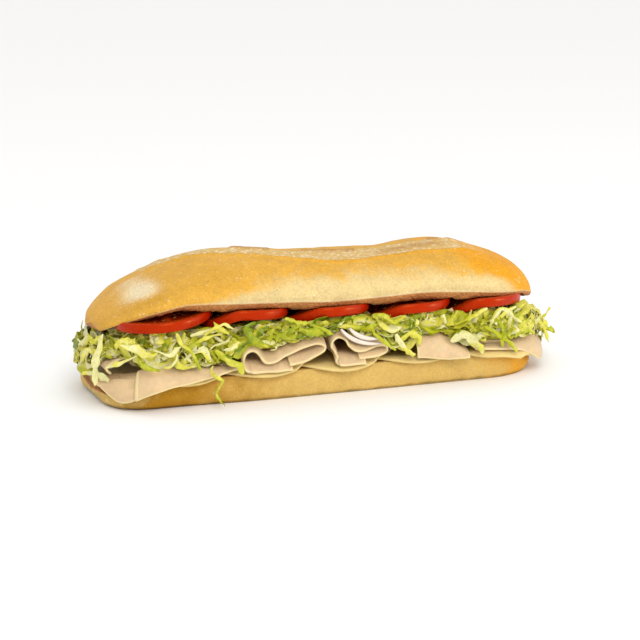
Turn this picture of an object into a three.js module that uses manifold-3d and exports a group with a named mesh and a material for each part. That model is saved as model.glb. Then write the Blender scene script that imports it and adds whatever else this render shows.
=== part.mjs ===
// Submarine sandwich: a long crusty roll cut right through, filled with round
// cheese slices, folded sliced turkey, onion, shredded lettuce and tomato.
// Millimetres, +Z up. X runs along the roll, the dressed front side faces -Y.
// The finished group is shifted so that its origin is the middle of its footprint.
import * as THREE from 'three';
import { mergeVertices } from 'three/addons/utils/BufferGeometryUtils.js';
import Module from 'manifold-3d';

const wasm = await Module();
wasm.setup();

// Driving dimensions
const CLEARANCE = 0.35;

// Each half has a plan outline with straight sides and round ends.
const BASE = {
  left: -99.5, right: 100, cornerLeft: 20, cornerRight: 30, halfWidth: 34.2,
  footInset: 1.6, footInsetLeft: 4.4, top: 12.2, tipHeight: 6.5, tipLift: 2.2, heelFall: 5.5,
};

const TOP = {
  left: -98.6, right: 100.3, cornerLeft: 28, cornerRight: 32, halfWidth: 35.6,
  tiltDegrees: 5, crownY: 4, crumbBulge: 4.2, crumbSharpness: 8, swell: 0.035,
  earDepth: 0.9, earFrom: -80, earTo: 88,
};

// Height of the front lip and of the crown along the roll: [x, z]
const LIP_HEIGHTS = [
  [-98.6, 32.6], [-95, 35.4], [-88, 38.7], [-80, 41.3], [-70, 43.6], [-62, 43.8], [-45, 42.9],
  [-19, 41.7], [-5, 40.7], [20, 41], [38, 41.4], [55, 40.3], [75, 38.6], [88, 37.4],
  [100.3, 33.8],
];
const CROWN_HEIGHTS = [
  [-98.6, 33.9], [-97, 36], [-92, 39.8], [-85, 45.3], [-75, 49.9], [-62, 55.2], [-48, 57.8],
  [-30, 58], [-12, 56.4], [4, 55.8], [20, 55.1], [36, 54.9], [50, 56.3], [62, 56],
  [75, 52.6], [86, 48.6], [94, 43.2], [98.5, 37], [100.3, 34.8],
];
// Place of the score's front edge round the crust, in degrees from the front lip: [x, degrees]
const EAR_ANGLES = [[-80, 88], [-64, 87], [-50, 76], [-32, 67], [-12, 59], [7, 53], [34, 60], [58, 57]];

const DROOP = { start: 3, reach: 6, depth: 3.4, limit: 1.15 };

const CHEESE = {
  radius: 32.5, thickness: 1.4, pitch: 34.6, firstX: -67.5, count: 5, centreY: -5.5,
  gap: 0.5,
};

const TURKEY = {
  thickness: 1.4, back: 29, front: -37.8, backHeightShare: 0.8, lean: 0.06, foldLift: 1.1,
  restLift: 1.1, browLift: 1.5, shelfEdge: -33.4, shelfShare: 0.62,
};

const TOMATO = { thickness: 4, edge: 0.9, frontY: -39, sides: 20, innerShare: 0.62 };
// Each tomato slice: middle, radius, height of its mid-plane at the front rim, rise to the right,
// rise to the back, how far its left side tucks under the slice before it, lift of its right end
const TOMATO_SLICES = [
  { x: -73.6, radius: 20.6, z: 36.1, rise: 0.085, slopeY: 0, tuck: 0, lift: 0.5 },
  { x: -39.2, radius: 19.8, z: 37.9, rise: -0.05, slopeY: -0.09, tuck: 5.3, lift: 0.6 },
  { x: -3, radius: 20.5, z: 36.6, rise: 0, slopeY: -0.1, tuck: 4.3, lift: 0.3 },
  { x: 35, radius: 21, z: 35.1, rise: 0.01, slopeY: -0.1, tuck: 4.6, lift: 1.5 },
  { x: 68.6, radius: 19.7, z: 35, rise: 0, slopeY: -0.08, tuck: 5.9, lift: 0 },
];

const ONION = { width: 2.6, thickness: 1.2, sweepDegrees: 60, lean: 0.12, squash: 0.8 };
const ONION_ARCS = [
  { x: 15.5, y: -41, z: 38.3, radius: 21, turn: 242 },
  { x: 14.1, y: -41.2, z: 35.9, radius: 15, turn: 242 },
];

const LETTUCE = {
  left: -102.5, right: 106.5, front: -38.2, back: 35.6, lobe: 2, lowest: 12.4, rim: 8,
  frontFall: 6.5, endMiddle: 20, corner: 34, endFront: 0.12,
};

const COLOURS = {
  crust: 0xdcab58, cheese: 0xf3e2a8, turkey: 0xecc9a8, tomato: 0xc0300f,
  onion: 0xf2ead6, lettuce: 0xa9c552,
};

const { clamp, degToRad, smoothstep, lerp } = THREE.MathUtils;
const TILT = Math.tan(degToRad(TOP.tiltDegrees));

// Smooth height at x through a few stations (Catmull-Rom, clamped at the ends).
function heightAlong(stations, x) {
  const last = stations.length - 1;
  const at = clamp(x, stations[0][0], stations[last][0]);
  let i = 0;
  while (i < last - 1 && at > stations[i + 1][0]) i += 1;
  const slope = (a, b) => (b[1] - a[1]) / (b[0] - a[0]);
  const [p0, p1] = [stations[i], stations[i + 1]];
  const own = slope(p0, p1);
  const before = i > 0 ? slope(stations[i - 1], p1) : own;
  const after = i < last - 1 ? slope(p0, stations[i + 2]) : own;
  const span = p1[0] - p0[0];
  const t = (at - p0[0]) / span;
  return (2 * t ** 3 - 3 * t ** 2 + 1) * p0[1] + (t ** 3 - 2 * t ** 2 + t) * span * before
    + (3 * t ** 2 - 2 * t ** 3) * p1[1] + (t ** 3 - t ** 2) * span * after;
}

// Half width of a half's plan outline at x.
function planHalfWidth(x, half) {
  const corner = x < 0 ? half.cornerLeft : half.cornerRight;
  const end = x < 0 ? -half.left : half.right;
  const into = clamp(Math.abs(x) - (end - corner), 0, corner);
  return half.halfWidth - corner + Math.sqrt(corner ** 2 - into ** 2);
}

// Distance of a point outside the lower half's plan outline, negative inside it.
function outsideRoll(x, y) {
  const corner = x < 0 ? BASE.cornerLeft : BASE.cornerRight;
  const end = x < 0 ? -BASE.left : BASE.right;
  const dx = Math.abs(x) - end + corner;
  const dy = Math.abs(y) - BASE.halfWidth + corner;
  const corners = Math.hypot(Math.max(dx, 0), Math.max(dy, 0));
  return corners + Math.min(Math.max(dx, dy), 0) - corner;
}

// Height of the lower half's cut face, falling a little to the left and to a thin right tip.
function cutFace(x) {
  const tip = (BASE.top - BASE.tipHeight) * smoothstep(x, 70, BASE.right);
  return BASE.top - tip - BASE.heelFall * smoothstep(-x, 76, 100);
}

// Slices lie flat on the cut face and droop over its edge.
function layerHeight(x, y, lift) {
  const over = Math.max(outsideRoll(x, y) + DROOP.start, 0) / DROOP.reach;
  return cutFace(x) + lift - DROOP.depth * Math.min(over, DROOP.limit) ** 2;
}

const DECK_LIFT = 2 * CLEARANCE + 2 * CHEESE.thickness + CHEESE.gap;
const deck = (x, y) => layerHeight(x, y, DECK_LIFT);

// Rows of a slice from front to back, with one row where the droop begins.
function rowFromFront(v, front, back) {
  const crease = clamp(DROOP.start - BASE.halfWidth, front + 0.5, back);
  return v < 0.4 ? lerp(front, crease, v / 0.4) : lerp(crease, back, (v - 0.4) / 0.6);
}

// Crumb face under the upper half: a tilted plane that bulges down inside its lip.
function lipPlane(x, y) {
  return heightAlong(LIP_HEIGHTS, x) - TILT * (y + TOP.halfWidth);
}

function crumbFace(x, y) {
  const half = Math.max(planHalfWidth(x, TOP), 0.1);
  const across = Math.min(Math.abs(y) / half, 1) ** TOP.crumbSharpness;
  const body = (heightAlong(CROWN_HEIGHTS, x) - heightAlong(LIP_HEIGHTS, x)) / 14;
  const bulge = TOP.crumbBulge * clamp(body, 0, 1);
  return lipPlane(x, y) - bulge * (1 - across);
}

// Geometry from vertices and triangles, turned so that its faces point out.
function closedGeometry(points, faces) {
  const a = new THREE.Vector3();
  const volume = faces.reduce((sum, [i, j, k]) => (
    sum + points[i].dot(a.crossVectors(points[j], points[k]))), 0);
  const turned = volume < 0 ? faces.map(([i, j, k]) => [i, k, j]) : faces;
  const geometry = new THREE.BufferGeometry();
  geometry.setAttribute('position', new THREE.Float32BufferAttribute(
    points.flatMap((p) => p.toArray()), 3));
  geometry.setIndex(turned.flat());
  return geometry;
}

// Solid through rings of equally many points, with flat ends.
function loftGeometry(rings) {
  const n = rings[0].length;
  const points = rings.flat();
  const faces = [];
  for (let r = 0; r < rings.length - 1; r += 1) {
    for (let i = 0; i < n; i += 1) {
      const [a, b] = [r * n + i, r * n + ((i + 1) % n)];
      faces.push([a, b, b + n], [a, b + n, a + n]);
    }
  }
  [0, rings.length - 1].forEach((r) => {
    const middle = rings[r].reduce((sum, p) => sum.add(p), new THREE.Vector3());
    const centre = points.push(middle.divideScalar(n)) - 1;
    for (let i = 0; i < n; i += 1) {
      const [a, b] = [r * n + i, r * n + ((i + 1) % n)];
      faces.push(r === 0 ? [centre, b, a] : [centre, a, b]);
    }
  });
  return closedGeometry(points, faces);
}

// Solid between an upper and a lower grid of points that share a rim.
function betweenGrids(upper, lower) {
  const rows = upper.length;
  const cols = upper[0].length;
  const points = [...upper.flat(), ...lower.flat()];
  const under = rows * cols;
  const faces = [];
  for (let r = 0; r < rows - 1; r += 1) {
    for (let c = 0; c < cols - 1; c += 1) {
      const a = r * cols + c;
      const b = a + cols;
      faces.push([a, b, b + 1], [a, b + 1, a + 1]);
      faces.push([under + a, under + b + 1, under + b], [under + a, under + a + 1, under + b + 1]);
    }
  }
  const rim = [];
  for (let r = 0; r < rows; r += 1) rim.push(r * cols);
  for (let c = 1; c < cols; c += 1) rim.push((rows - 1) * cols + c);
  for (let r = rows - 2; r >= 0; r -= 1) rim.push(r * cols + cols - 1);
  for (let c = cols - 2; c > 0; c -= 1) rim.push(c);
  rim.forEach((a, i) => {
    const b = rim[(i + 1) % rim.length];
    faces.push([a, under + b, b], [a, under + a, under + b]);
  });
  return closedGeometry(points, faces);
}

const fractions = (n) => Array.from({ length: n + 1 }, (_, i) => i / n);

// Sheet of even thickness about a middle surface: place(u, v) with u and v from 0 to 1.
function sheetGeometry(uSteps, vSteps, thickness, place) {
  const step = 0.004;
  const normalAt = (u, v) => {
    const [u0, u1] = [Math.max(u - step, 0), Math.min(u + step, 1)];
    const [v0, v1] = [Math.max(v - step, 0), Math.min(v + step, 1)];
    const along = place(u1, v).sub(place(u0, v));
    const across = place(u, v1).sub(place(u, v0));
    return along.cross(across).normalize();
  };
  const side = (offset) => fractions(uSteps).map((u) => fractions(vSteps).map((v) => (
    place(u, v).addScaledVector(normalAt(u, v), offset))));
  return betweenGrids(side(thickness / 2), side(-thickness / 2));
}

// Stations along x, closer together near both ends.
function stationsAlong(from, to, steps, crowding = 0.55) {
  return fractions(steps).map((t) => {
    const eased = (1 - Math.cos(Math.PI * t)) / 2;
    return lerp(from, to, lerp(t, eased, crowding));
  });
}

function toManifold(geometry) {
  const bare = geometry.clone();
  bare.deleteAttribute('normal');
  bare.deleteAttribute('uv');
  const merged = mergeVertices(bare, 1e-4);
  return new wasm.Manifold(new wasm.Mesh({
    numProp: 3,
    vertProperties: new Float32Array(merged.attributes.position.array),
    triVerts: new Uint32Array(merged.index.array),
  }));
}

function cutAway(geometry, tools) {
  const solid = tools.reduce((left, tool) => left.subtract(toManifold(tool)), toManifold(geometry));
  const mesh = solid.getMesh();
  const cut = new THREE.BufferGeometry();
  cut.setAttribute('position', new THREE.BufferAttribute(new Float32Array(mesh.vertProperties), 3));
  cut.setIndex(Array.from(mesh.triVerts));
  return cut;
}

// Lower half: a flat foot, rounded sides and a level cut face.
function breadBottomGeometry() {
  const rings = stationsAlong(BASE.left, BASE.right, 26).map((x) => {
    const half = planHalfWidth(x, BASE);
    const face = cutFace(x) - 1.6 * smoothstep(-x, 95.5, -BASE.left);
    const lift = BASE.tipLift * smoothstep(x, 84, BASE.right) + 1.2 * smoothstep(-x, 93, -BASE.left);
    const level = (share) => lerp(lift, face, share);
    const inset = lerp(BASE.footInset, BASE.footInsetLeft, smoothstep(-x, 30, 75));
    const side = [
      [half - inset, lift], [half - 0.3 * inset, level(0.2)], [half, level(0.62)],
      [half - 0.7, level(0.88)], [half - 2.5, level(0.978)], [half * 0.6, face],
    ];
    const front = side.map(([y, z]) => new THREE.Vector3(x, -y, z));
    const back = side.map(([y, z]) => new THREE.Vector3(x, y, z)).reverse();
    return [...front, ...back];
  });
  return loftGeometry(rings);
}

// Outer crust of the upper half at x, from the front lip over the crown to the back lip.
function crustSection(x) {
  const half = planHalfWidth(x, TOP);
  const rise = heightAlong(CROWN_HEIGHTS, x) - lipPlane(x, TOP.crownY);
  const fade = 12;
  const opened = smoothstep(x, TOP.earFrom, TOP.earFrom + fade);
  const closed = smoothstep(x, TOP.earTo - fade, TOP.earTo);
  const notchDepth = TOP.earDepth * opened * (1 - closed);
  const ear = heightAlong(EAR_ANGLES, x);
  const rising = (share) => lerp(30, ear - 4, share);
  const front = [0, 8, 18, 30, rising(0.5), ear - 4, ear, ear + 4, lerp(ear + 4, 100, 0.5)];
  const back = [100, 114, 129, 144, 158, 169, 180];
  return [...front, ...back].map((degrees) => {
    const angle = degToRad(degrees);
    const reach = degrees < 90 ? half + TOP.crownY : half - TOP.crownY;
    const swell = 1 + TOP.swell * Math.sin(2 * angle) * (degrees < 90 ? 1 : -1);
    const y = TOP.crownY - reach * Math.cos(angle) * swell;
    const notch = degrees === ear ? notchDepth : 0;
    return new THREE.Vector3(x, y, lipPlane(x, y) + rise * Math.sin(angle) - notch);
  });
}

// Upper half: domed crust with a long score, and a crumb face below.
function breadTopGeometry() {
  const rings = stationsAlong(TOP.left, TOP.right, 29, 0.8).map((x) => {
    const crust = crustSection(x);
    const half = planHalfWidth(x, TOP);
    const crumb = [0.92, 0.78, 0.4, 0, -0.4, -0.78, -0.92].map((share) => (
      new THREE.Vector3(x, half * share, crumbFace(x, half * share))));
    return [...crust, ...crumb];
  });
  return loftGeometry(rings);
}

// Round slice: left part on the bread, right part stepped up onto the next slice.
function cheeseGeometry(centreX) {
  const { radius, thickness, centreY } = CHEESE;
  const columns = 11;
  const narrow = 2.2 / radius;
  return sheetGeometry(columns, 5, thickness, (u, v) => {
    const out = clamp((Math.abs(u - 0.5) * 2 * columns - 1) / (columns - 1), 0, 1);
    const across = Math.sign(u - 0.5) * lerp(narrow, 0.99, Math.sin(out * Math.PI / 2));
    const chord = Math.sqrt(1 - across ** 2) * radius;
    const x = centreX + across * radius;
    const y = rowFromFront(v, centreY - chord, centreY + chord);
    const step = (thickness + CHEESE.gap) * smoothstep(across, -narrow, narrow);
    return new THREE.Vector3(x, y, layerHeight(x, y, CLEARANCE + thickness / 2 + step));
  });
}

// Folds stand highest at the front and are pressed flatter towards the back.
function foldShare(y) {
  const inward = clamp((y - TURKEY.front) / (TURKEY.back - TURKEY.front), 0, 1);
  return lerp(1, TURKEY.backHeightShare, inward);
}

// Outline of each S fold seen from the front: [millimetres from its left side, height]. From the
// bottom layer it goes up a leg, over a loop, down to a valley, out to a tip and back under.
const FOLDS = [
  {
    from: -44,
    outline: [
      [21, 0], [12, 0], [4.5, 0.1], [0.6, 1.2], [-0.6, 3.6], [-0.5, 6.4], [0.9, 8.6], [3.3, 9.4],
      [5.7, 8.2], [7.4, 5.6], [9.6, 3.9], [13.6, 4.2], [19.5, 6.4], [26.6, 9], [32.6, 9.9],
      [35.6, 8.3], [33.2, 5.6], [27.2, 3], [19.4, 2.1],
    ],
  },
  {
    from: -5.4,
    outline: [
      [15, 0], [8, 0], [3.6, 0.2], [2, 1.4], [2.6, 3.4], [1.4, 5.6], [0, 8.2], [0.5, 10.8],
      [3, 12.1], [5.8, 10.9], [8, 7.7], [11.2, 5.6], [15.4, 5.5], [20.6, 7], [24.6, 6.4],
      [24.9, 4], [21, 2.5], [12, 2.1],
    ],
  },
];

function foldGeometry({ from, outline }) {
  const curve = new THREE.CatmullRomCurve3(
    outline.map(([out, height]) => new THREE.Vector3(out, 0, height)), false, 'centripetal');
  return sheetGeometry(21, 5, TURKEY.thickness, (u, v) => {
    const spot = curve.getPoint(u);
    const y = rowFromFront(v, TURKEY.front, TURKEY.back);
    const x = from + spot.x + TURKEY.lean * (y - TURKEY.front);
    return new THREE.Vector3(x, y, deck(x, y) + TURKEY.foldLift + spot.z * foldShare(y));
  });
}

// Slice laid on the cheese with its front part hanging over the edge of the roll.
function drapeGeometry({ from, to, brow, low, step, back, uSteps }) {
  return sheetGeometry(uSteps, 8, TURKEY.thickness, (u, v) => {
    const x = lerp(from, to, u);
    const shelf = TURKEY.shelfShare;
    const inner = Math.min(v / shelf, 1);
    const hang = Math.max(v - shelf, 0) / (1 - shelf);
    const out = step(x);
    const edge = 0.8 - Math.max(planHalfWidth(Math.max(x, BASE.left + 0.5), BASE), 26);
    const y = lerp(back(x), edge, inner) - out * Math.sin(hang * Math.PI / 2);
    const flat = deck(x, y) + TURKEY.restLift;
    const top = Math.max(brow(x), deck(x, edge) + TURKEY.browLift);
    const onShelf = lerp(flat, top, smoothstep(inner, 0.35, 1));
    const z = hang > 0 ? lerp(top, low(x), hang ** 1.5) : onShelf;
    return new THREE.Vector3(x, y, z);
  });
}

// A slice that goes round a front corner of the roll. Along the roll's edge, counted from the end
// of the corner's arc and negative round the corner: height of its brow and of its hanging edge
const LEFT_SLICE = {
  side: -1,
  corner: BASE.cornerLeft,
  straight: BASE.left + BASE.cornerLeft,
  walks: [-30, -25, -20, -15, -10.3, -8.3, -3, 3, 9, 15, 21, 27, 32.5],
  brow: [
    [-30, 10.4], [-24, 11.8], [-17, 13], [-10, 13.9], [-8.6, 17], [0, 17.4], [7, 17.8], [17, 17.1],
    [32.5, 15.9],
  ],
  low: [
    [-30, 10], [-27.7, 9.8], [-23.7, 8.2], [-19.5, 5.9], [-16.6, 4.4], [-13.2, 4.2], [-10.1, 5.3],
    [-6.4, 7.4], [-3.1, 8.8], [2.6, 10.5], [9.8, 11.4], [17, 12.5], [24.7, 13.8], [32.5, 15.5],
  ],
  proud: (walk) => lerp(2.6, 5.2, smoothstep(walk, -10.1, -8.5)) - 1.8 * smoothstep(walk, 8, 32),
  depth: (walk) => lerp(14, 60, smoothstep(walk, -1, 14)),
};

// The slice at the right end hangs down past the roll's thin tip.
const RIGHT_SLICE = {
  side: 1,
  corner: BASE.cornerRight,
  straight: BASE.right - BASE.cornerRight,
  walks: [-38, -34, -30, -26, -21, -16, -11, -6, -1, 4, 9],
  brow: [[-38, 14.6], [-32, 16], [-25, 16.4], [-16, 16], [-9.5, 15.6], [0, 15.6], [9, 15.4]],
  low: [
    [-38, 7.6], [-34, 6], [-28, 4.9], [-23, 5.9], [-20, 8], [-16, 10.5], [-9.5, 12.4], [0, 13.6],
    [9, 14.4],
  ],
  proud: (walk) => lerp(5.4, 3, smoothstep(walk, -22, -16)),
  depth: (walk) => lerp(22, 58, smoothstep(walk, -1, 9)),
};

// Place at a distance outside the roll's edge, round one of its front corners.
function roundCorner({ side, corner, straight }, walk, out) {
  const arc = -Math.min(walk, 0) / corner;
  const x = straight + side * ((corner + out) * Math.sin(arc) - Math.max(walk, 0));
  return [x, corner - BASE.halfWidth - (corner + out) * Math.cos(arc)];
}

function cornerSliceGeometry(slice) {
  const { walks, brow, low, proud, depth } = slice;
  const steps = walks.length - 1;
  return sheetGeometry(steps, 6, TURKEY.thickness, (u, v) => {
    const i = Math.min(Math.floor(u * steps), steps - 1);
    const walk = lerp(walks[i], walks[i + 1], u * steps - i);
    const inner = Math.min(2 * v, 1);
    const hang = Math.max(2 * v - 1, 0);
    const out = -depth(walk) * (1 - inner) + proud(walk) * Math.sin(hang * Math.PI / 2)
      - 0.6 * (1 - hang);
    const [x, y] = roundCorner(slice, walk, out);
    const top = heightAlong(brow, walk);
    const flat = deck(x, y) + TURKEY.restLift;
    const onShelf = Math.max(lerp(flat, top, smoothstep(inner, 0.55, 1)), flat);
    const z = hang > 0 ? lerp(top, heightAlong(low, walk), hang ** 1.4) : onShelf;
    return new THREE.Vector3(x, y, z);
  });
}

// The broad slice right of the middle: its face slopes down to the right.
const BROAD_SLICE = {
  from: 33,
  to: 57.5,
  uSteps: 6,
  brow: (x) => 23.2 - 8.2 * smoothstep(x, 43, 59),
  low: (x) => lerp(13.6, 11.6, smoothstep(x, 33, 50)),
  step: () => 5.8,
  back: () => TURKEY.back,
};

// Loose curl standing on the left slice at the roll's end.
function curlGeometry() {
  return sheetGeometry(8, 4, TURKEY.thickness, (u, v) => {
    const angle = lerp(-0.25, 1.1, u) * Math.PI;
    const x = -93 - 5.8 * Math.cos(angle) + 2 * v;
    const y = lerp(-23.5, 18, v);
    const rise = 3.4 + 2.7 * (1 + Math.sin(angle)) * lerp(1, 0.88, v);
    return new THREE.Vector3(x, y, deck(Math.max(x, -96), y) + rise);
  });
}

// Height of a tomato slice's mid-plane: its left side tucked under, its right end lifted.
function tomatoMiddle(slice, x, y) {
  const aside = x / slice.radius;
  const bend = slice.lift * smoothstep(aside, 0.5, 1) - slice.tuck * smoothstep(-aside, 0.25, 1);
  return slice.z + slice.rise * x + slice.slopeY * (y + slice.radius) + bend;
}

// Tomato slice: a disc with a softly rounded rim; grown by the clearance it makes a cutting tool.
function tomatoGeometry(slice, grow = 0, above = 0, below = 0) {
  const radius = slice.radius + grow;
  const half = TOMATO.thickness / 2 + grow;
  const edge = grow > 0 ? 0 : TOMATO.edge;
  const [low, high] = [-half - below, half + above];
  const rounded = [[radius - edge, low], [radius, low + edge], [radius, high - edge], [radius - edge, high]];
  const rim = edge > 0 ? rounded : [rounded[1], rounded[2]];
  const inner = TOMATO.innerShare * radius;
  const profile = [[0, low], [inner, low], ...rim, [inner, high], [0, high]]
    .map(([r, z]) => new THREE.Vector2(r, z));
  const disc = new THREE.LatheGeometry(profile, TOMATO.sides);
  disc.rotateX(Math.PI / 2);
  const position = disc.attributes.position;
  for (let i = 0; i < position.count; i += 1) {
    const [x, y, z] = [position.getX(i), position.getY(i), position.getZ(i)];
    const middleY = TOMATO.frontY + slice.radius;
    position.setXYZ(i, x + slice.x, y + middleY, tomatoMiddle(slice, x, y) + z);
  }
  return disc;
}

// Arc of an onion ring leaning on the front of the filling, slender at both ends.
function onionGeometry({ x, y, z, radius, turn }, grow = 0) {
  const { width, thickness, sweepDegrees, lean, squash } = ONION;
  const sweep = sweepDegrees + 2 * grow;
  return sheetGeometry(10, 1, thickness + 2 * grow, (u, v) => {
    const angle = degToRad(lerp(-sweep / 2, sweep / 2, u) + turn);
    const across = (width * Math.sin(Math.PI * lerp(0.12, 0.88, u)) + 2 * grow) * (v - 0.5);
    const reach = radius + across;
    const rise = reach * Math.sin(angle);
    return new THREE.Vector3(x + reach * Math.cos(angle), y - lean * rise, z + squash * rise);
  });
}

// Uneven edge of the shredded heap: short lobes along its rim.
const lobes = (t, phase) => Math.sin(t * 0.31 + phase) * 0.6 + Math.sin(t * 0.73 + 2 * phase) * 0.4;

function lettuceOutline(x, side) {
  const { left, right, front, back, lobe, corner, endFront } = LETTUCE;
  const end = x < 0 ? left : right;
  const into = clamp((Math.abs(x) - Math.abs(end) + corner) / corner, 0, 0.995);
  const edge = side < 0 ? -front : back;
  const rounding = lerp(endFront, 1, Math.sqrt(1 - into ** 2));
  return side * (edge * rounding + lobe * lobes(x, side + 2));
}

// One heap out to its uneven outline, filling the room between deck, turkey, tomato and crumb.
function lettuceHeapGeometry(tools) {
  const { left, right, rim, lowest, endMiddle } = LETTUCE;
  const spanAt = (x) => [lettuceOutline(x, -1), lettuceOutline(x, 1)];
  const xs = stationsAlong(left, right, 30, 0.35);
  const shares = [0, 0.04, 0.14, 0.36, 0.64, 0.86, 0.96, 1];
  const roofAt = (x, y) => {
    const inward = clamp(x, TOP.left + 3, TOP.right - 3);
    const narrowing = 1.4 * smoothstep(Math.abs(x), 82, 94);
    const fall = LETTUCE.frontFall * smoothstep(-y, 29, 38);
    return crumbFace(inward, y) - 1.5 * CLEARANCE - 0.4 * (1 + lobes(x + y, 0.7)) - narrowing - fall;
  };
  const grid = (upper) => xs.map((x) => shares.map((share) => {
    const [front, back] = spanAt(x);
    const y = lerp(front, back, share);
    const beyond = smoothstep(x, TOP.right - 8, right) + smoothstep(-x, -TOP.left - 8, -left);
    const floor = Math.max(deck(x, y) + CLEARANCE, lowest);
    const roof = roofAt(x, y);
    const nearEdge = 1 - smoothstep(Math.min(share, 1 - share), 0, 0.12);
    const squeeze = Math.max(nearEdge, beyond);
    const middle = lerp(lerp(floor, roof, share < 0.5 ? 0.56 : 0.5), endMiddle, beyond);
    const half = lerp((roof - floor) / 2, rim + 2 * lobes(x * 1.7, 1.1), squeeze * 0.72);
    const z = upper ? Math.min(middle + half, roof) : Math.max(middle - half, floor);
    return new THREE.Vector3(x, y, z);
  }));
  return cutAway(betweenGrids(grid(true), grid(false)), tools);
}

// Room that a stretch of turkey takes, with clearance: from below the roll up to topAt(x, y).
function laneTool(from, to, topAt) {
  const xs = fractions(8).map((t) => lerp(from, to, t));
  const ys = [2 * LETTUCE.front, -30, -8, TURKEY.back + 3 * CLEARANCE];
  const grid = (height) => xs.map((x) => ys.map((y) => new THREE.Vector3(x, y, height(x, y))));
  return betweenGrids(grid(topAt), grid(() => -BASE.top));
}

// The deck's height with its droop along the front left out.
const levelDeck = (x, y) => deck(x, Math.max(y, TURKEY.shelfEdge));

function foldTool({ from, outline }) {
  const height = Math.max(...outline.map((spot) => spot[1])) + TURKEY.thickness + CLEARANCE;
  const width = Math.max(...outline.map((spot) => spot[0]));
  const shift = TURKEY.lean * (TURKEY.back - TURKEY.front);
  const margin = 1.5 * TURKEY.thickness;
  return laneTool(from - margin, from + width + margin + shift, (x, y) => (
    levelDeck(x, y) + TURKEY.foldLift + height * foldShare(y)));
}

function drapeTool(from, to, browAt) {
  const margin = CLEARANCE + 0.2;
  const depth = TURKEY.back - TURKEY.shelfEdge;
  return laneTool(from - margin, to + margin, (x, y) => {
    const inner = smoothstep((TURKEY.back - y) / depth, 0.35, 1);
    const flat = levelDeck(x, y) + TURKEY.browLift;
    return lerp(flat, Math.max(browAt(x), flat), inner) + TURKEY.thickness + CLEARANCE;
  });
}

const leftSliceTool = () => drapeTool(-102, LEFT_SLICE.straight + 32.5, (x) => (
  heightAlong(LEFT_SLICE.brow, x - LEFT_SLICE.straight)));
const curlTool = () => laneTool(-104, -84, (x, y) => (
  deck(Math.max(x, -92), Math.max(y, -10)) + 10.4));
const rightSliceTool = () => laneTool(60, 108, (x, y) => (
  levelDeck(Math.min(x, 88), y) + (y < 0 || x < 72 ? 6.5 : 2.4)));

function sandwich() {
  const group = new THREE.Group();
  const add = (name, geometry, color, roughness) => {
    const material = new THREE.MeshStandardMaterial({ color, roughness, metalness: 0 });
    const mesh = new THREE.Mesh(geometry, material);
    mesh.name = name;
    group.add(mesh);
  };

  add('bread_bottom', breadBottomGeometry(), COLOURS.crust, 0.75);

  for (let i = 0; i < CHEESE.count; i += 1) {
    add(`cheese_${i + 1}`, cheeseGeometry(CHEESE.firstX + i * CHEESE.pitch), COLOURS.cheese, 0.45);
  }

  const turkey = [
    curlGeometry(), cornerSliceGeometry(LEFT_SLICE), ...FOLDS.map(foldGeometry),
    drapeGeometry(BROAD_SLICE), cornerSliceGeometry(RIGHT_SLICE),
  ];
  turkey.forEach((geometry, i) => add(`turkey_${i + 1}`, geometry, COLOURS.turkey, 0.5));

  const tools = [
    ...TOMATO_SLICES.map((slice) => tomatoGeometry(slice, 1.5 * CLEARANCE, 8, 0)),
    leftSliceTool(), ...FOLDS.map(foldTool), drapeTool(BROAD_SLICE.from, BROAD_SLICE.to, BROAD_SLICE.brow),
    curlTool(), rightSliceTool(), ...ONION_ARCS.map((arc) => onionGeometry(arc, CLEARANCE)),
  ];
  add('lettuce', lettuceHeapGeometry(tools), COLOURS.lettuce, 0.6);

  ONION_ARCS.forEach((arc, i) => add(`onion_${i + 1}`, onionGeometry(arc), COLOURS.onion, 0.35));

  TOMATO_SLICES.forEach((slice, i) => {
    add(`tomato_${i + 1}`, tomatoGeometry(slice), COLOURS.tomato, 0.3);
  });

  const pressed = TOMATO_SLICES.map((slice) => tomatoGeometry(slice, CLEARANCE, 0, 8));
  add('bread_top', cutAway(breadTopGeometry(), pressed), COLOURS.crust, 0.7);

  const box = new THREE.Box3().setFromObject(group);
  const centre = box.getCenter(new THREE.Vector3());
  group.position.set(-centre.x, -centre.y, -box.min.z);
  return group;
}

export default sandwich();
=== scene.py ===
import math

import bmesh
import bpy
import numpy as np
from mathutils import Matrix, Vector


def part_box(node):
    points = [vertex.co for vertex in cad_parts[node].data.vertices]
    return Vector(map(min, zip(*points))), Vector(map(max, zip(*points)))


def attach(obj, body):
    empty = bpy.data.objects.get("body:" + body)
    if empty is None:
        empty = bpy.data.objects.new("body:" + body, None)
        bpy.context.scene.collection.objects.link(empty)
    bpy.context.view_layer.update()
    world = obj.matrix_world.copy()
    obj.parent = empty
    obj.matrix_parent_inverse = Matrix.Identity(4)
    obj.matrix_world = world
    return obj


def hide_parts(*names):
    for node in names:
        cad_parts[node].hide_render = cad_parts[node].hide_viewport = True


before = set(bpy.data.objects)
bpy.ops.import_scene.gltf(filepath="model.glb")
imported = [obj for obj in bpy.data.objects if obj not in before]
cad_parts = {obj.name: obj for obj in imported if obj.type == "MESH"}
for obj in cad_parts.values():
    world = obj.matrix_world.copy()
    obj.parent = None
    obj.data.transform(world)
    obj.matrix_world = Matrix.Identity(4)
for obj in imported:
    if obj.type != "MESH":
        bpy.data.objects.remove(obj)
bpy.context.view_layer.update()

bl_info = {
    "name": "Submarine sandwich",
    "version": (1, 0, 0),
    "blender": (4, 5, 0),
    "location": "View3D > Sidebar > Sandwich",
    "description": "Builds a filled long roll piece by piece, with its finishes and a pale studio",
    "category": "Add Mesh",
}

MM = 0.001

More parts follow.
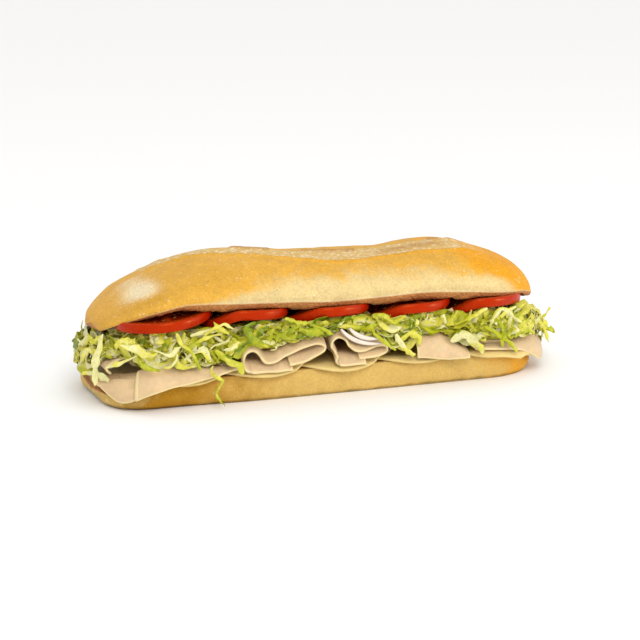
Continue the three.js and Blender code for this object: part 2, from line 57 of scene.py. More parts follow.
# Shapes are worked out in millimetres with the roll's own middle at x = y = 0. The frame's origin is
# the middle of the whole footprint, so every point moves by this much.
BASE_LOW, BASE_HIGH = (Vector(corner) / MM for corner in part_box("bread_bottom"))
SHIFT = np.array([BASE_LOW.x + 99.5, (BASE_LOW.y + BASE_HIGH.y) / 2, 0.0])

BASE = {
    "left": -99.5, "right": 100.0, "corner_left": 20.0, "corner_right": 30.0, "half": 34.2,
    "foot_inset": 1.6, "foot_inset_left": 4.4, "top": 12.2, "tip_height": 6.5, "tip_lift": 2.2,
    "heel_fall": 5.5,
}
TOP = {
    "left": -98.6, "right": 100.3, "corner_left": 28.0, "corner_right": 32.0, "half": 35.6,
    "crown_y": 4.0, "bulge": 4.2,
}
LIP_HEIGHTS = (
    (-98.6, 32.6), (-95, 35.4), (-88, 38.7), (-80, 41.3), (-70, 43.6), (-62, 43.8), (-45, 42.9),
    (-19, 41.7), (-5, 40.7), (20, 41), (38, 41.4), (55, 40.3), (75, 38.6), (88, 37.4), (100.3, 33.8),
)
CROWN_HEIGHTS = (
    (-98.6, 33.9), (-97, 36), (-92, 39.8), (-85, 45.3), (-75, 49.9), (-62, 55.2), (-48, 57.8),
    (-30, 58), (-12, 56.4), (4, 55.8), (20, 55.1), (36, 54.9), (50, 56.3), (62, 56), (75, 52.6),
    (86, 48.6), (94, 43.2), (98.5, 37.2), (100.3, 35),
)
EAR_LINE = (
    (-76, 10), (-64, 2), (-50, -5.6), (-32, -11.4), (-12, -16.4), (7, -20.1), (34, -16), (58, -18),
    (80, -16),
)
# How far a slice droops over the cut face's edge. The cheese that shows droops less than its solids
DROOP = 3.4
CHEESE = {
    "radius": 32.5, "pitch": 34.6, "first_x": -67.5, "centre_y": -5.5, "step": 1.9, "lift": 1.05,
    "droop": 1.9,
}
TURKEY = {"back": 29.0, "front": -37.8, "back_share": 0.8, "lean": 0.06}
# Outline of each S fold seen from the front: millimetres from its left side and above the cheese
FOLDS = (
    {"node": "turkey_3", "from": -44.0, "outline": (
        (21, 0), (12, 0), (4.5, 0.1), (0.6, 1.2), (-0.6, 3.6), (-0.5, 6.4), (0.9, 8.6), (3.3, 9.4),
        (5.7, 8.2), (7.4, 5.6), (9.6, 3.9), (13.6, 4.2), (19.5, 6.4), (26.6, 9), (32.6, 9.9),
        (35.6, 8.3), (33.2, 5.6), (27.2, 3), (19.4, 2.1),
    )},
    {"node": "turkey_4", "from": -5.4, "outline": (
        (15, 0), (8, 0), (3.6, 0.2), (2, 1.4), (2.6, 3.4), (1.4, 5.6), (0, 8.2), (0.5, 10.8),
        (3, 12.1), (5.8, 10.9), (8, 7.7), (11.2, 5.6), (15.4, 5.5), (20.6, 7), (24.6, 6.4),
        (24.9, 4), (21, 2.5), (12, 2.1),
    )},
)
TOMATO_THICKNESS = 4.0
# Where the front rim of every tomato slice lies along y
TOMATO_FRONT = -39.0
# Each tomato slice: middle, radius, height at the front rim, rise to the right, rise to the back, how
# far its left side tucks under the slice before it, lift of its right end and number of seed chambers
TOMATO_KEYS = ("x", "radius", "z", "rise", "back", "tuck", "lift", "chambers")
TOMATO_SLICES = tuple(dict(zip(TOMATO_KEYS, values)) for values in (
    (-73.6, 20.6, 36.1, 0.085, 0, 0, 0.5, 5),
    (-39.2, 19.8, 37.9, -0.05, -0.09, 5.3, 0.6, 6),
    (-3, 20.5, 36.6, 0, -0.1, 4.3, 0.3, 5),
    (35, 21, 35.1, 0.01, -0.1, 4.6, 1.5, 7),
    (68.6, 19.7, 35, 0, -0.08, 5.9, 0, 6),
))
ONION_ARCS = (
    {"x": 15.5, "y": -41.0, "z": 38.3, "radius": 21, "turn": 242},
    {"x": 14.1, "y": -41.2, "z": 35.9, "radius": 15, "turn": 242},
)
# Plan outline of the lettuce. Its tips keep a share of the full reach, so they aren't pointed
HEAP = {
    "left": -102.5, "right": 106.5, "front": -38.2, "back": 35.6, "corner": 34.0, "tip_share": 0.12,
}
# Columns of points round the lower half: up one side, over the cut face and under the foot
SIDE_COLUMNS, FACE_COLUMNS, FOOT_COLUMNS = 56, 28, 14
# Rings that close each end of a half of the roll
DOME_STEPS = 7


def srgb(red, green, blue):
    """Linear colour of a screen colour given as 0 to 255."""
    def linear(value):
        share = value / 255
        return share / 12.92 if share <= 0.04045 else ((share + 0.055) / 1.055) ** 2.4
    return tuple(linear(value) for value in (red, green, blue))


def eased(x, start, end):
    """0 before start, 1 after end and a smooth rise between."""
    t = np.clip((x - start) / (end - start), 0, 1)
    return t * t * (3 - 2 * t)


def between(low, high, share):
    """Number that lies that share of the way from low to high."""
    return low + (high - low) * share


def bell(x, middle, spread):
    """1 at the middle, falling smoothly to nearly 0 at twice the spread."""
    return np.exp(-((x - middle) / spread) ** 2)


def unit(vectors):
    """The vectors at length 1."""
    return vectors / np.maximum(np.linalg.norm(vectors, axis=-1, keepdims=True), 1e-9)


def height_along(marks, x):
    """Smooth value at x through a few (x, value) marks."""
    xs, values = np.array(marks, dtype=float).T
    rises = np.diff(values) / np.diff(xs)
    slopes = np.concatenate([rises[:1], (values[2:] - values[:-2]) / (xs[2:] - xs[:-2]), rises[-1:]])
    at = np.clip(x, xs[0], xs[-1])
    i = np.clip(np.searchsorted(xs, at, side="right") - 1, 0, len(xs) - 2)
    span = xs[i + 1] - xs[i]
    t = (at - xs[i]) / span
    return (
        (2 * t ** 3 - 3 * t ** 2 + 1) * values[i] + (t ** 3 - 2 * t ** 2 + t) * span * slopes[i]
        + (3 * t ** 2 - 2 * t ** 3) * values[i + 1] + (t ** 3 - t ** 2) * span * slopes[i + 1]
    )


def smooth_line(points, samples):
    """Catmull-Rom line of evenly many samples through points of shape (..., count, 3)."""
    points = np.asarray(points, dtype=float)
    count = points.shape[-2]
    padded = np.concatenate([
        2 * points[..., :1, :] - points[..., 1:2, :], points,
        2 * points[..., -1:, :] - points[..., -2:-1, :],
    ], axis=-2)
    at = np.linspace(0, count - 1, samples)
    i = np.minimum(at.astype(int), count - 2)
    t = (at - i)[:, None]
    p0, p1, p2, p3 = (padded[..., i + k, :] for k in range(4))
    return 0.5 * (
        2 * p1 + (p2 - p0) * t + (2 * p0 - 5 * p1 + 4 * p2 - p3) * t ** 2
        + (3 * p1 - p0 - 3 * p2 + p3) * t ** 3
    )


def chance_at(cells, seed):
    """Number from 0 to 1 that belongs to each whole-numbered cell."""
    mixed = (
        (cells[..., 0] * 73856093) ^ (cells[..., 1] * 19349663) ^ (cells[..., 2] * 83492791)
        ^ (seed * 5484127)
    ) & 0xFFFFFFFF
    mixed = ((mixed ^ (mixed >> 13)) * 668265263) & 0xFFFFFFFF
    mixed = ((mixed ^ (mixed >> 15)) * 374761393) & 0xFFFFFFFF
    return ((mixed ^ (mixed >> 16)) & 0xFFFFFF) / 0xFFFFFF


def lumps(points, size, seed):
    """Smooth noise from -1 to 1, with lumps about size millimetres across. Seed picks the pattern."""
    scaled = points / size
    cells = np.floor(scaled).astype(np.int64)
    part = scaled - cells
    part = part * part * (3 - 2 * part)
    total = np.zeros(points.shape[:-1])
    for corner in np.ndindex(2, 2, 2):
        weight = np.prod(np.where(corner, part, 1 - part), axis=-1)
        total += weight * chance_at(cells + np.array(corner), seed)
    return 2 * total - 1


def plan_half_width(x, half):
    """Half width of a half's plan outline at x."""
    corner = np.where(x < 0, half["corner_left"], half["corner_right"])
    end = np.where(x < 0, -half["left"], half["right"])
    into = np.clip(np.abs(x) - (end - corner), 0, corner)
    return half["half"] - corner + np.sqrt(corner ** 2 - into ** 2)


def outside_roll(x, y):
    """Distance outside the lower half's plan outline, negative inside it."""
    corner = np.where(x < 0, BASE["corner_left"], BASE["corner_right"])
    end = np.where(x < 0, -BASE["left"], BASE["right"])
    dx = np.abs(x) - end + corner
    dy = np.abs(y) - BASE["half"] + corner
    corners = np.hypot(np.maximum(dx, 0), np.maximum(dy, 0))
    return corners + np.minimum(np.maximum(dx, dy), 0) - corner


def cut_face(x):
    """Height of the lower half's cut face, which falls towards both ends."""
    tip = (BASE["top"] - BASE["tip_height"]) * eased(x, 70, BASE["right"])
    return BASE["top"] - tip - BASE["heel_fall"] * eased(-x, 76, 100)


def layer_height(x, y, lift, droop=DROOP):
    """Height of a slice that lies on the cut face and droops over its edge."""
    over = np.maximum(outside_roll(x, y) + 3, 0) / 6
    return cut_face(x) + lift - droop * np.minimum(over, 1.15) ** 2


def deck(x, y):
    """Height of the top of the cheese."""
    return layer_height(x, y, 4.0)


def lip_plane(x, y):
    """Height of the upper half's rim, carried through the roll and tilted towards the back."""
    tilt = math.tan(bpy.context.scene.sandwich_roll.tilt)
    return height_along(LIP_HEIGHTS, x) - tilt * (y + TOP["half"])


def crumb_face(x, y):
    """Height of the upper half's crumb, which bulges down inside its lip."""
    half = np.maximum(plan_half_width(x, TOP), 0.1)
    across = np.minimum(np.abs(y) / half, 1) ** 22
    body = (height_along(CROWN_HEIGHTS, x) - height_along(LIP_HEIGHTS, x)) / 14
    return lip_plane(x, y) - TOP["bulge"] * np.clip(body, 0, 1) * (1 - across)


def fold_share(y):
    """Folds stand highest at the front and are pressed flatter towards the back."""
    inward = np.clip((y - TURKEY["front"]) / (TURKEY["back"] - TURKEY["front"]), 0, 1)
    return between(1, TURKEY["back_share"], inward)


def tomato_middle(cut, x, y):
    """Height of a tomato slice's mid-plane: its left side tucked under, its right end lifted."""
    aside = (x - cut["x"]) / cut["radius"]
    bend = cut["lift"] * eased(aside, 0.5, 1) - cut["tuck"] * eased(-aside, 0.25, 1)
    return cut["z"] + cut["rise"] * (x - cut["x"]) + cut["back"] * (y - TOMATO_FRONT) + bend


def tomato_reach(cut, x, y):
    """Distance in plan from a tomato slice's middle."""
    return np.hypot(x - cut["x"], y - TOMATO_FRONT - cut["radius"])


def stations(start, end, count, crowding):
    """Numbers from start to end, closer together near both."""
    t = np.linspace(0, 1, count)
    return between(start, end, between(t, (1 - np.cos(np.pi * t)) / 2, crowding))


def grid_faces(rows, columns, closed=False, start=0):
    """Quads of a grid of points. Closed joins the last column to the first."""
    r, c = np.meshgrid(np.arange(rows - 1), np.arange(columns if closed else columns - 1), indexing="ij")
    a = start + r * columns + c
    b = start + r * columns + (c + 1) % columns
    return np.stack([a, b, b + columns, a + columns], axis=-1).reshape(-1, 4).tolist()


def grid_normals(grid):
    """Unit normals of a grid of points of shape (..., rows, columns, 3)."""
    return unit(np.cross(np.gradient(grid, axis=-3), np.gradient(grid, axis=-2)))


def edge_distance(grid):
    """Distance in millimetres from each point of a sheet to its nearest rim, along the sheet."""
    def walked(axis):
        steps = np.linalg.norm(np.diff(grid, axis=axis), axis=-1)
        first = np.zeros_like(np.take(steps, [0], axis=axis))
        from_start = np.cumsum(np.concatenate([first, steps], axis=axis), axis=axis)
        return np.minimum(from_start, np.take(from_start, [-1], axis=axis) - from_start)
    return np.minimum(walked(0), walked(1))


def tube_faces(rows, columns):
    """Faces of a tube of rings and the fans that close its ends to two points after the rings."""
    faces = grid_faces(rows, columns, closed=True)
    first, last = rows * columns, rows * columns + 1
    for c in range(columns):
        following = (c + 1) % columns
        faces.append([c, following, first])
        faces.append([(rows - 1) * columns + following, (rows - 1) * columns + c, last])
    return faces


def slab_faces(rows, columns):
    """Faces of a sheet's upper points, its lower points and the rim between them."""
    under = rows * columns
    faces = grid_faces(rows, columns) + grid_faces(rows, columns, start=under)
    rim = [r * columns for r in range(rows)]
    rim += [(rows - 1) * columns + c for c in range(1, columns)]
    rim += [r * columns + columns - 1 for r in range(rows - 2, -1, -1)]
    rim += list(range(columns - 2, 0, -1))
    return faces + [[a, b, under + b, under + a] for a, b in zip(rim, rim[1:] + rim[:1])]


def slab(grid, thickness):
    """Points, faces and rim distances of a sheet with softly rounded rims about a grid of points."""
    edge = edge_distance(grid)
    half = thickness / 2 * (1 - 0.45 * np.exp(-edge / (0.25 * thickness)))
    offset = grid_normals(grid) * half[..., None]
    points = np.concatenate([(grid + offset).reshape(-1, 3), (grid - offset).reshape(-1, 3)])
    return points, slab_faces(*grid.shape[:2]), np.tile(edge.ravel(), 2)


def domed_end(ring, outward, depth):
    """Rings that close an end softly: ring shrinks to its middle and moves outward by depth."""
    middle = ring.mean(axis=0)
    turns = np.linspace(0, math.pi / 2, DOME_STEPS + 1)[1:]
    reach = np.array([outward * depth, 0, 0])
    rings = [middle + (ring - middle) * max(math.cos(t), 0.02) + reach * math.sin(t) for t in turns]
    return np.stack(rings)


def add_piece(name, points, faces, finish, nodes=(), masks=None):
    """A finished mesh piece in the row frame, standing in for the nodes of the frame."""
    mesh = bpy.data.meshes.new(name)
    mesh.from_pydata(((points + SHIFT) * MM).tolist(), [], faces)
    for mask, values in (masks or {}).items():
        layer = mesh.attributes.new(mask, "FLOAT", "POINT")
        layer.data.foreach_set("value", np.ravel(values).astype(np.float32))
    shape = bmesh.new()
    shape.from_mesh(mesh)
    bmesh.ops.recalc_face_normals(shape, faces=shape.faces)
    shape.to_mesh(mesh)
    shape.free()
    mesh.shade_smooth()
    mesh.materials.append(finish)
    piece = bpy.data.objects.new(name, mesh)
    bpy.context.scene.collection.objects.link(piece)
    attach(piece, "root")
    if nodes:
        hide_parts(*nodes)
    return piece


class Wire:
    """A number that a finish's nodes work out. Arithmetic on it adds Math nodes."""

    def __init__(self, finish, socket):
        self.finish = finish
        self.socket = socket

    def maths(self, operation, *values):
        return self.finish.node("ShaderNodeMath", {"operation": operation}, dict(enumerate(values)))

    def __add__(self, other):
        return self.maths("ADD", self, other)

    def __sub__(self, other):
        return self.maths("SUBTRACT", self, other)

    def __rsub__(self, other):
        return self.maths("SUBTRACT", other, self)

    def __mul__(self, other):
        return self.maths("MULTIPLY", self, other)

    def within(self, start, end):
        """0 below start, 1 above end and a smooth rise between. End may be the lower one."""
        return self.finish.node(
            "ShaderNodeMapRange", {"interpolation_type": "SMOOTHSTEP"}, {0: self, 1: start, 2: end})


class Finish:
    """A material built from nodes round one Principled shader."""

    def __init__(self, name):
        self.material = bpy.data.materials.new(name)
        self.material.use_nodes = True
        self.tree = self.material.node_tree
        self.tree.nodes.clear()
        self.shader = self.tree.nodes.new("ShaderNodeBsdfPrincipled")
        output = self.tree.nodes.new("ShaderNodeOutputMaterial")
        self.tree.links.new(self.shader.outputs[0], output.inputs["Surface"])
        self.spot = self.node("ShaderNodeTexCoord", output="Object")

    def plug(self, socket, value):
        """Sets a socket to a constant, or links it to a wire."""
        if isinstance(value, Wire):
            self.tree.links.new(value.socket, socket)
        elif socket.type == "RGBA" and len(value) == 3:
            socket.default_value = (*value, 1)
        else:
            socket.default_value = value

    def node(self, kind, settings=None, inputs=None, output=0):
        """Adds a node, its settings first and then its sockets, and returns one output."""
        made = self.tree.nodes.new(kind)
        for setting, value in (settings or {}).items():
            setattr(made, setting, value)
        for socket, value in (inputs or {}).items():
            self.plug(made.inputs[socket], value)
        return Wire(self, made.outputs[output])

    def mask(self, name):
        """Number painted on the piece's points."""
        return self.node(
            "ShaderNodeAttribute", {"attribute_type": "GEOMETRY", "attribute_name": name}, output="Fac")

    def coordinate(self, axis):
        """One coordinate of the place on the piece, in metres."""
        return self.node("ShaderNodeSeparateXYZ", {}, {0: self.spot}, output=axis)

    def stretched(self, x, y, z):
        """Coordinates in which patterns are longer along the axes with the larger numbers."""
        scale = (1 / x, 1 / y, 1 / z)
        return self.node("ShaderNodeMapping", {}, {"Vector": self.spot, "Scale": scale})

    def grain(self, size, detail=3.0, roughness=0.55, spot=None):
        """Cloudy noise from 0 to 1, its patches about that many millimetres across."""
        return self.node("ShaderNodeTexNoise", {}, {
            "Vector": spot or self.spot, "Scale": 1 / (size * MM), "Detail": detail,
            "Roughness": roughness,
        })

    def dots(self, size):
        """Distance from the middle of the nearest of many dots, spaced by that many millimetres."""
        return self.node("ShaderNodeTexVoronoi", {}, {
            "Vector": self.spot, "Scale": 1 / (size * MM)}, output="Distance")

    def blend(self, first, second, mask):
        """Colour that goes from first to second as the mask rises."""
        return self.node("ShaderNodeMix", {"data_type": "RGBA"}, {0: mask, 6: first, 7: second}, output=2)

    def shade(self, colour, amount):
        """Colour times a number, for darker and lighter patches."""
        return self.node("ShaderNodeVectorMath", {"operation": "SCALE"}, {0: colour, "Scale": amount})

    def bump(self, height, depth):
        """Normal of relief that is depth millimetres deep where the height goes from 0 to 1."""
        inputs = {"Height": height, "Distance": depth * MM, "Strength": 1.0}
        return self.node("ShaderNodeBump", {}, inputs)

    def surface(self, **sockets):
        """Plugs the shader's sockets and returns the finished material."""
        for socket, value in sockets.items():
            self.plug(self.shader.inputs[socket.replace("_", " ")], value)
        return self.material


def length_property(name, description, millimetres):
    return bpy.props.FloatProperty(
        name=name, description=description, default=millimetres * MM, min=0, unit="LENGTH")


def colour_property(name, description, *screen):
    return bpy.props.FloatVectorProperty(
        name=name, description=description, default=srgb(*screen), min=0, max=1, size=3,
        subtype="COLOR")


class RollSettings(bpy.types.PropertyGroup):
    """Shape and colours of the roll."""

    tilt: bpy.props.FloatProperty(
        name="Tilt", description="Fall of the upper half from its front to its back",
        default=math.radians(5), unit="ROTATION")
    unevenness: length_property("Unevenness", "Height of the broad lumps in the crust", 0.5)
    ear_height: length_property("Ear height", "Step of the crust along the score", 1.1)
    golden: colour_property("Golden crust", "Baked crust of the upper half", 206, 155, 56)
    cream: colour_property("Cream crust", "Palest crust, low on the front", 208, 183, 125)
    amber: colour_property("Amber crust", "Darker patches of the broad end", 188, 140, 42)
    toasted: colour_property("Toasted crust", "Darkest crust, at the narrow end", 213, 146, 8)
    # Flour colour, also used for the painted highlight on the broad end and the painted glints on the
    # blisters
    flour_and_sheen: colour_property("Flour", "Pale blisters and floury patches", 226, 212, 176)
    scorched: colour_property("Scorched", "Browned ridges and specks", 158, 104, 42)
    score: colour_property("Score", "Grainy band where the crust has opened", 200, 164, 96)
    crumb: colour_property("Crumb", "Inside of the roll", 182, 122, 68)
    lower: colour_property("Lower crust", "Side of the lower half", 203, 168, 94)
    lower_dark: colour_property("Lower crust, darker", "Broad end of the lower half", 170, 122, 26)


class FillingSettings(bpy.types.PropertyGroup):
    """Thicknesses and colours of the sliced filling."""

    turkey_thickness: length_property("Turkey thickness", "Thickness of a slice of turkey", 1.15)
    cheese_thickness: length_property("Cheese thickness", "Thickness of a slice of cheese", 1.3)
    onion_thickness: length_property("Onion thickness", "Thickness of an onion ring", 1.2)
    turkey: colour_property("Turkey", "Face of the sliced turkey", 206, 177, 135)
    turkey_rim: colour_property("Turkey rim", "Cut edge of the sliced turkey", 222, 202, 150)
    cheese: colour_property("Cheese", "Sliced cheese", 222, 197, 128)
    skin: colour_property("Tomato skin", "Outside of the tomato slices", 166, 28, 0)
    flesh: colour_property("Tomato flesh", "Walls in the tomato slices", 170, 52, 6)
    gel: colour_property("Tomato gel", "Seed chambers in the tomato slices", 128, 30, 2)
    onion: colour_property("Onion", "Onion rings", 226, 216, 196)
    onion_line: colour_property("Onion line", "Thin skins between the onion's layers", 196, 176, 176)


class LettuceSettings(bpy.types.PropertyGroup):
    """Amount, size and colours of the shredded lettuce."""

    crowding: bpy.props.FloatProperty(
        name="Crowding", description="Shreds to each millimetre of the heap's outline",
        default=3.9, min=0.1)
    width: length_property("Width", "Usual width of a shred", 3.0)
    thickness: length_property("Thickness", "Thickness of a shred of leaf", 0.3)
    seed: bpy.props.IntProperty(name="Seed", description="Start of the random draws", default=7)
    white: colour_property("Rib", "Watery rib of a leaf", 211, 206, 144)
    pale: colour_property("Pale leaf", "Inner leaf", 204, 196, 72)
    green: colour_property("Green leaf", "Outer leaf", 168, 170, 14)
    deep: colour_property("Deep leaf", "Darkest outer leaf", 112, 132, 4)
    # Core: painted shade, the colour of lettuce in the heap's shadow, used on the core and on deep shreds
    core: colour_property("Core", "Shaded lettuce deep in the heap", 96, 74, 2)


class StageSettings(bpy.types.PropertyGroup):
    """Camera and lights."""

    azimuth: bpy.props.FloatProperty(
        name="Azimuth", description="Angle of the camera round the sandwich",
        default=math.radians(-21), unit="ROTATION")
    elevation: bpy.props.FloatProperty(
        name="Elevation", description="Angle of the camera above the horizon",
        default=math.radians(12.5), unit="ROTATION")
    distance: length_property("Distance", "From the camera to the sandwich", 912)
    daylight: bpy.props.FloatProperty(
        name="Daylight", description="Strength of the even light from all round", default=1.0)
    key: bpy.props.FloatProperty(
        name="Key light", description="Power of the large soft light above the front", default=5.2,
        unit="POWER")
    fill: bpy.props.FloatProperty(
        name="Fill light", description="Power of the soft light at the right", default=3.0,
        unit="POWER")


def crust_relief(points, settings):
    """Broad lumps and small dents of baked crust."""
    broad = lumps(points, 26, 3) + 0.5 * lumps(points, 11, 4)
    return settings.unevenness / MM * broad + 0.12 * lumps(points, 4.2, 5)


def loft(rings, end_depths):
    """Points and faces of a closed body through rings, with softly domed ends."""
    left = domed_end(rings[0], -1, end_depths[0])[::-1]
    right = domed_end(rings[-1], 1, end_depths[1])
    body = np.concatenate([left, rings, right])
    points = np.concatenate([body.reshape(-1, 3), body[:1].mean(axis=1), body[-1:].mean(axis=1)])
    return points, tube_faces(*body.shape[:2])


def bridged(line, count, start):
    """Columns of points from a line to its mirror image at the other side of the roll."""
    across = np.linspace(start, -start, count + 2)[1:-1]
    return line * np.stack([np.ones(count), across, np.ones(count)], axis=-1)


def lower_half_points():
    """Rings of the lower half, from the front foot over the cut face to the back foot."""
    x = stations(BASE["left"] + 1.2, BASE["right"] - 0.6, 300, 0.7)
    half = plan_half_width(x, BASE)
    face = cut_face(x) - 1.6 * eased(-x, 95.5, 99.5)
    lift = BASE["tip_lift"] * eased(x, 84, 100) + 1.2 * eased(-x, 93, 99.5)
    inset = between(BASE["foot_inset"], BASE["foot_inset_left"], eased(-x, 30, 75))
    level = {share: between(lift, face, share) for share in (0.14, 0.4, 0.7, 0.9, 0.985)}
    profile = (
        (half - inset, lift), (half - 0.45 * inset, level[0.14]), (half - 0.1 * inset, level[0.4]),
        (half, level[0.7]), (half - 0.5, level[0.9]), (half - 1.8, level[0.985]), (half * 0.6, face),
    )
    lines = np.stack([np.stack([x, -y, z], axis=-1) for y, z in profile], axis=1)
    side = smooth_line(lines, SIDE_COLUMNS)
    face_columns = bridged(side[:, -1:, :], FACE_COLUMNS, 1)
    foot = bridged(side[:, :1, :], FOOT_COLUMNS, -1)
    back = (side * np.array([1, -1, 1]))[:, ::-1]
    return np.concatenate([side, face_columns, back, foot], axis=1)


def relieve(rings, amount, faded):
    """Moves each point of the rings out along its normal by amount, less where faded is 1."""
    return rings + grid_normals(rings) * (amount * (1 - faded))[..., None]


def open_score(crust):
    """The parts of the score, each 0 to 1 on the crust's points, and the height of its step."""
    along = crust[..., 0]
    streak = crust * np.array([1, 0, 0])
    band = crust[..., 1] - height_along(EAR_LINE, along) + 0.7 * lumps(streak, 7, 21)
    band += 0.5 * lumps(crust, 2.4, 22)
    scored = eased(along + 3 * lumps(crust, 3, 23), -76, -68) * (1 - eased(along, 58, 80))
    lip = eased(band, -3.4, -0.5) * (1 - eased(band, -0.4, 0.5))
    step = 0.6 * lip - eased(band, -0.4, 0.5) * (1 - eased(band, 6, 15))
    torn = eased(band, -0.3, 0.4) * (1 - eased(band, 14, 17)) * scored
    ridge = bell(band, 15, 1.8) * scored * eased(lumps(streak, 13, 24) + 0.4 * lumps(streak, 5, 25), 0, 0.4)
    middle = bell(band, 9, 2.4) * scored * eased(along, 20, 34) * (1 - eased(along, 52, 66))
    return scored, lip, step, torn, ridge, middle


def crumb_points(x, half):
    """Points of the upper half's crumb, from its back rim to its front, pressed in over the tomato."""
    shares = np.sin(np.linspace(1, -1, 74)[1:-1] * 1.42) / math.sin(1.42)
    crumb_y = half * shares[None, :]
    crumb_x = x + np.zeros_like(crumb_y)
    crumb = np.stack([crumb_x, crumb_y, crumb_face(crumb_x, crumb_y)], axis=-1)
    fuzz = 0.45 * lumps(crumb, 3.0, 11) + 0.4 * lumps(crumb, 1.3, 12)
    crumb[..., 2] += fuzz * (1 - np.abs(shares) ** 12)
    for cut in TOMATO_SLICES:
        reach = tomato_reach(cut, crumb_x, crumb_y)
        pressed = tomato_middle(cut, crumb_x, crumb_y) + TOMATO_THICKNESS / 2 + 0.25
        inside = 1 - eased(reach, cut["radius"] + 0.2, cut["radius"] + 2.4)
        inside = inside * (1 - eased(np.abs(shares), 0.93, 0.985))
        crumb[..., 2] = np.maximum(crumb[..., 2], between(crumb[..., 2], pressed, inside))
    return crumb


def upper_half_points(settings):
    """Rings of the upper half, over the crust and back under the crumb, and the crust's masks."""
    x = stations(TOP["left"] + 0.2, TOP["right"] - 0.3, 350, 0.75)[:, None]
    angle = np.radians(np.linspace(0, 180, 156))[None, :]
    half = plan_half_width(x, TOP)
    rise = height_along(CROWN_HEIGHTS, x) - lip_plane(x, TOP["crown_y"])
    facing = np.where(angle < math.pi / 2, 1, -1)
    swell = 1 + 0.035 * np.sin(2 * angle) * facing
    y = TOP["crown_y"] - (half + TOP["crown_y"] * facing) * np.cos(angle) * swell
    share = np.sin(angle) + 0 * x
    crust = np.stack(np.broadcast_arrays(x, y, lip_plane(x, y) + rise * share), axis=-1)
    along = crust[..., 0]
    scored, lip, step, torn, ridge, middle = open_score(crust)
    relief = crust_relief(crust, settings) + settings.ear_height / MM * scored * step
    relief += torn * (0.3 * lumps(crust * np.array([0.6, 1, 1]), 2.0, 8) + 0.25 * lumps(crust, 4, 9))
    relief += 0.8 * ridge + 0.6 * middle
    near_lip = 1 - eased(share, 0, 0.16)
    crust = relieve(crust, relief, near_lip)
    crumb = crumb_points(x, half)
    cloud = 0.6 * lumps(crust, 17, 31) + 0.35 * lumps(crust, 7, 32)
    masks = {
        "score": torn,
        "gold": eased(share + 0.8 * eased(-along, 30, 72) + 0.3 * cloud, 0.12, 0.9),
        "amber": eased(-along, 34, 60) * eased(0.8 - np.abs(share - 0.5) + 0.5 * cloud, 0.5, 1.0),
        "toast": eased(along + 34 * (share - 0.5) + 7 * cloud, 52, 84),
        "under": lip * scored * eased(along, -60, 40),
        # pale: painted highlight on the front shoulder of the broad end
        "pale": bell(along, -82, 8) * bell(share, 0.84, 0.22) * (1 - eased(crust[..., 1], 4, 12)),
        "brown": np.maximum(ridge, 0.7 * middle),
        "rim": bell(np.degrees(angle), 0, 1.3) + bell(np.degrees(angle), 180, 1.3) + 0 * x,
    }
    plain = np.zeros(crumb.shape[:2])
    masks = {name: np.concatenate([values, plain], axis=1) for name, values in masks.items()}
    masks["crumb"] = np.concatenate([np.zeros(crust.shape[:2]), plain + 1], axis=1)
    return np.concatenate([crust, crumb], axis=1), masks


def with_ends(values):
    """Mask values of a loft's points: those of its rings, its domed ends and its two tips."""
    left = np.repeat(values[:1], DOME_STEPS, axis=0)
    right = np.repeat(values[-1:], DOME_STEPS, axis=0)
    tips = np.array([values[0].mean(), values[-1].mean()])
    return np.concatenate([np.concatenate([left, values, right]).ravel(), tips])


def upper_crust_finish(roll):
    """Baked crust: cream low on the front, golden above, toasted at the narrow end, fine blisters with
    painted glints, and a painted highlight on the broad end's shoulder.
    """
    finish = Finish("baked_crust")
    crumb = finish.mask("crumb")
    mottle = finish.grain(4.5, detail=4.0)
    patches = finish.grain(9, detail=2.0)
    fine = finish.grain(0.9, detail=3.0, roughness=0.6)
    coarse = finish.grain(1.7, detail=3.0, roughness=0.6)
    blister = finish.dots(2.1)
    pits = finish.dots(3.3)
    golden = (finish.mask("gold") + (mottle - 0.5) * 0.7).within(0.1, 0.9)
    colour = finish.blend(roll.cream, roll.golden, golden)
    amber = finish.mask("amber") * (mottle * 0.6 + patches * 0.6).within(0.45, 0.72)
    colour = finish.blend(colour, roll.amber, amber)
    toasted = (finish.mask("toast") + (mottle - 0.5) * 0.6).within(0.15, 0.85)
    colour = finish.blend(colour, roll.toasted, toasted)
    colour = finish.blend(colour, roll.toasted, finish.mask("under") * 0.6)
    # Painted highlight: the broad end's shoulder is lightened toward the flour colour.
    painted_highlight = (finish.mask("pale") + (fine - 0.5) * 0.5).within(0.15, 1.0)
    colour = finish.blend(colour, roll.flour_and_sheen, painted_highlight * 0.85)
    colour = finish.shade(colour, fine * 0.6 + coarse * 0.26 + mottle * 0.24 + patches * 0.2 + 0.35)
    # Pale specks on the blisters: partly their own paler colour, partly painted glints.
    light = blister.within(0.3, 0.12) * (patches + coarse * 0.8).within(0.86, 1.05)
    colour = finish.blend(colour, roll.flour_and_sheen, light * 0.45)
    dark = pits.within(0.16, 0.05) * patches.within(0.56, 0.46)
    colour = finish.blend(colour, roll.scorched, dark * 0.5)
    opened = finish.blend(roll.score, roll.flour_and_sheen, coarse.within(0.46, 0.66) * 0.75)
    opened = finish.blend(opened, roll.scorched, finish.grain(1.3, detail=4.0).within(0.56, 0.74) * 0.4)
    colour = finish.blend(colour, opened, finish.mask("score"))
    colour = finish.blend(colour, roll.scorched, finish.mask("brown") * (mottle * 0.5 + 0.5))
    inside = finish.shade(roll.crumb, finish.grain(1.5, detail=4.0) * 1.1 + 0.45)
    colour = finish.blend(colour, inside, crumb)
    colour = finish.blend(colour, roll.flour_and_sheen, finish.mask("rim") * 0.3)
    relief = fine * 0.5 + blister.within(0.5, 0.1) * 0.4 + coarse * 0.4 + crumb * finish.grain(1.1) * 2.5
    return finish.surface(
        Base_Color=colour, Roughness=(mottle * 0.2 + 0.5), Normal=finish.bump(relief, 0.35),
        Specular_IOR_Level=0.2)


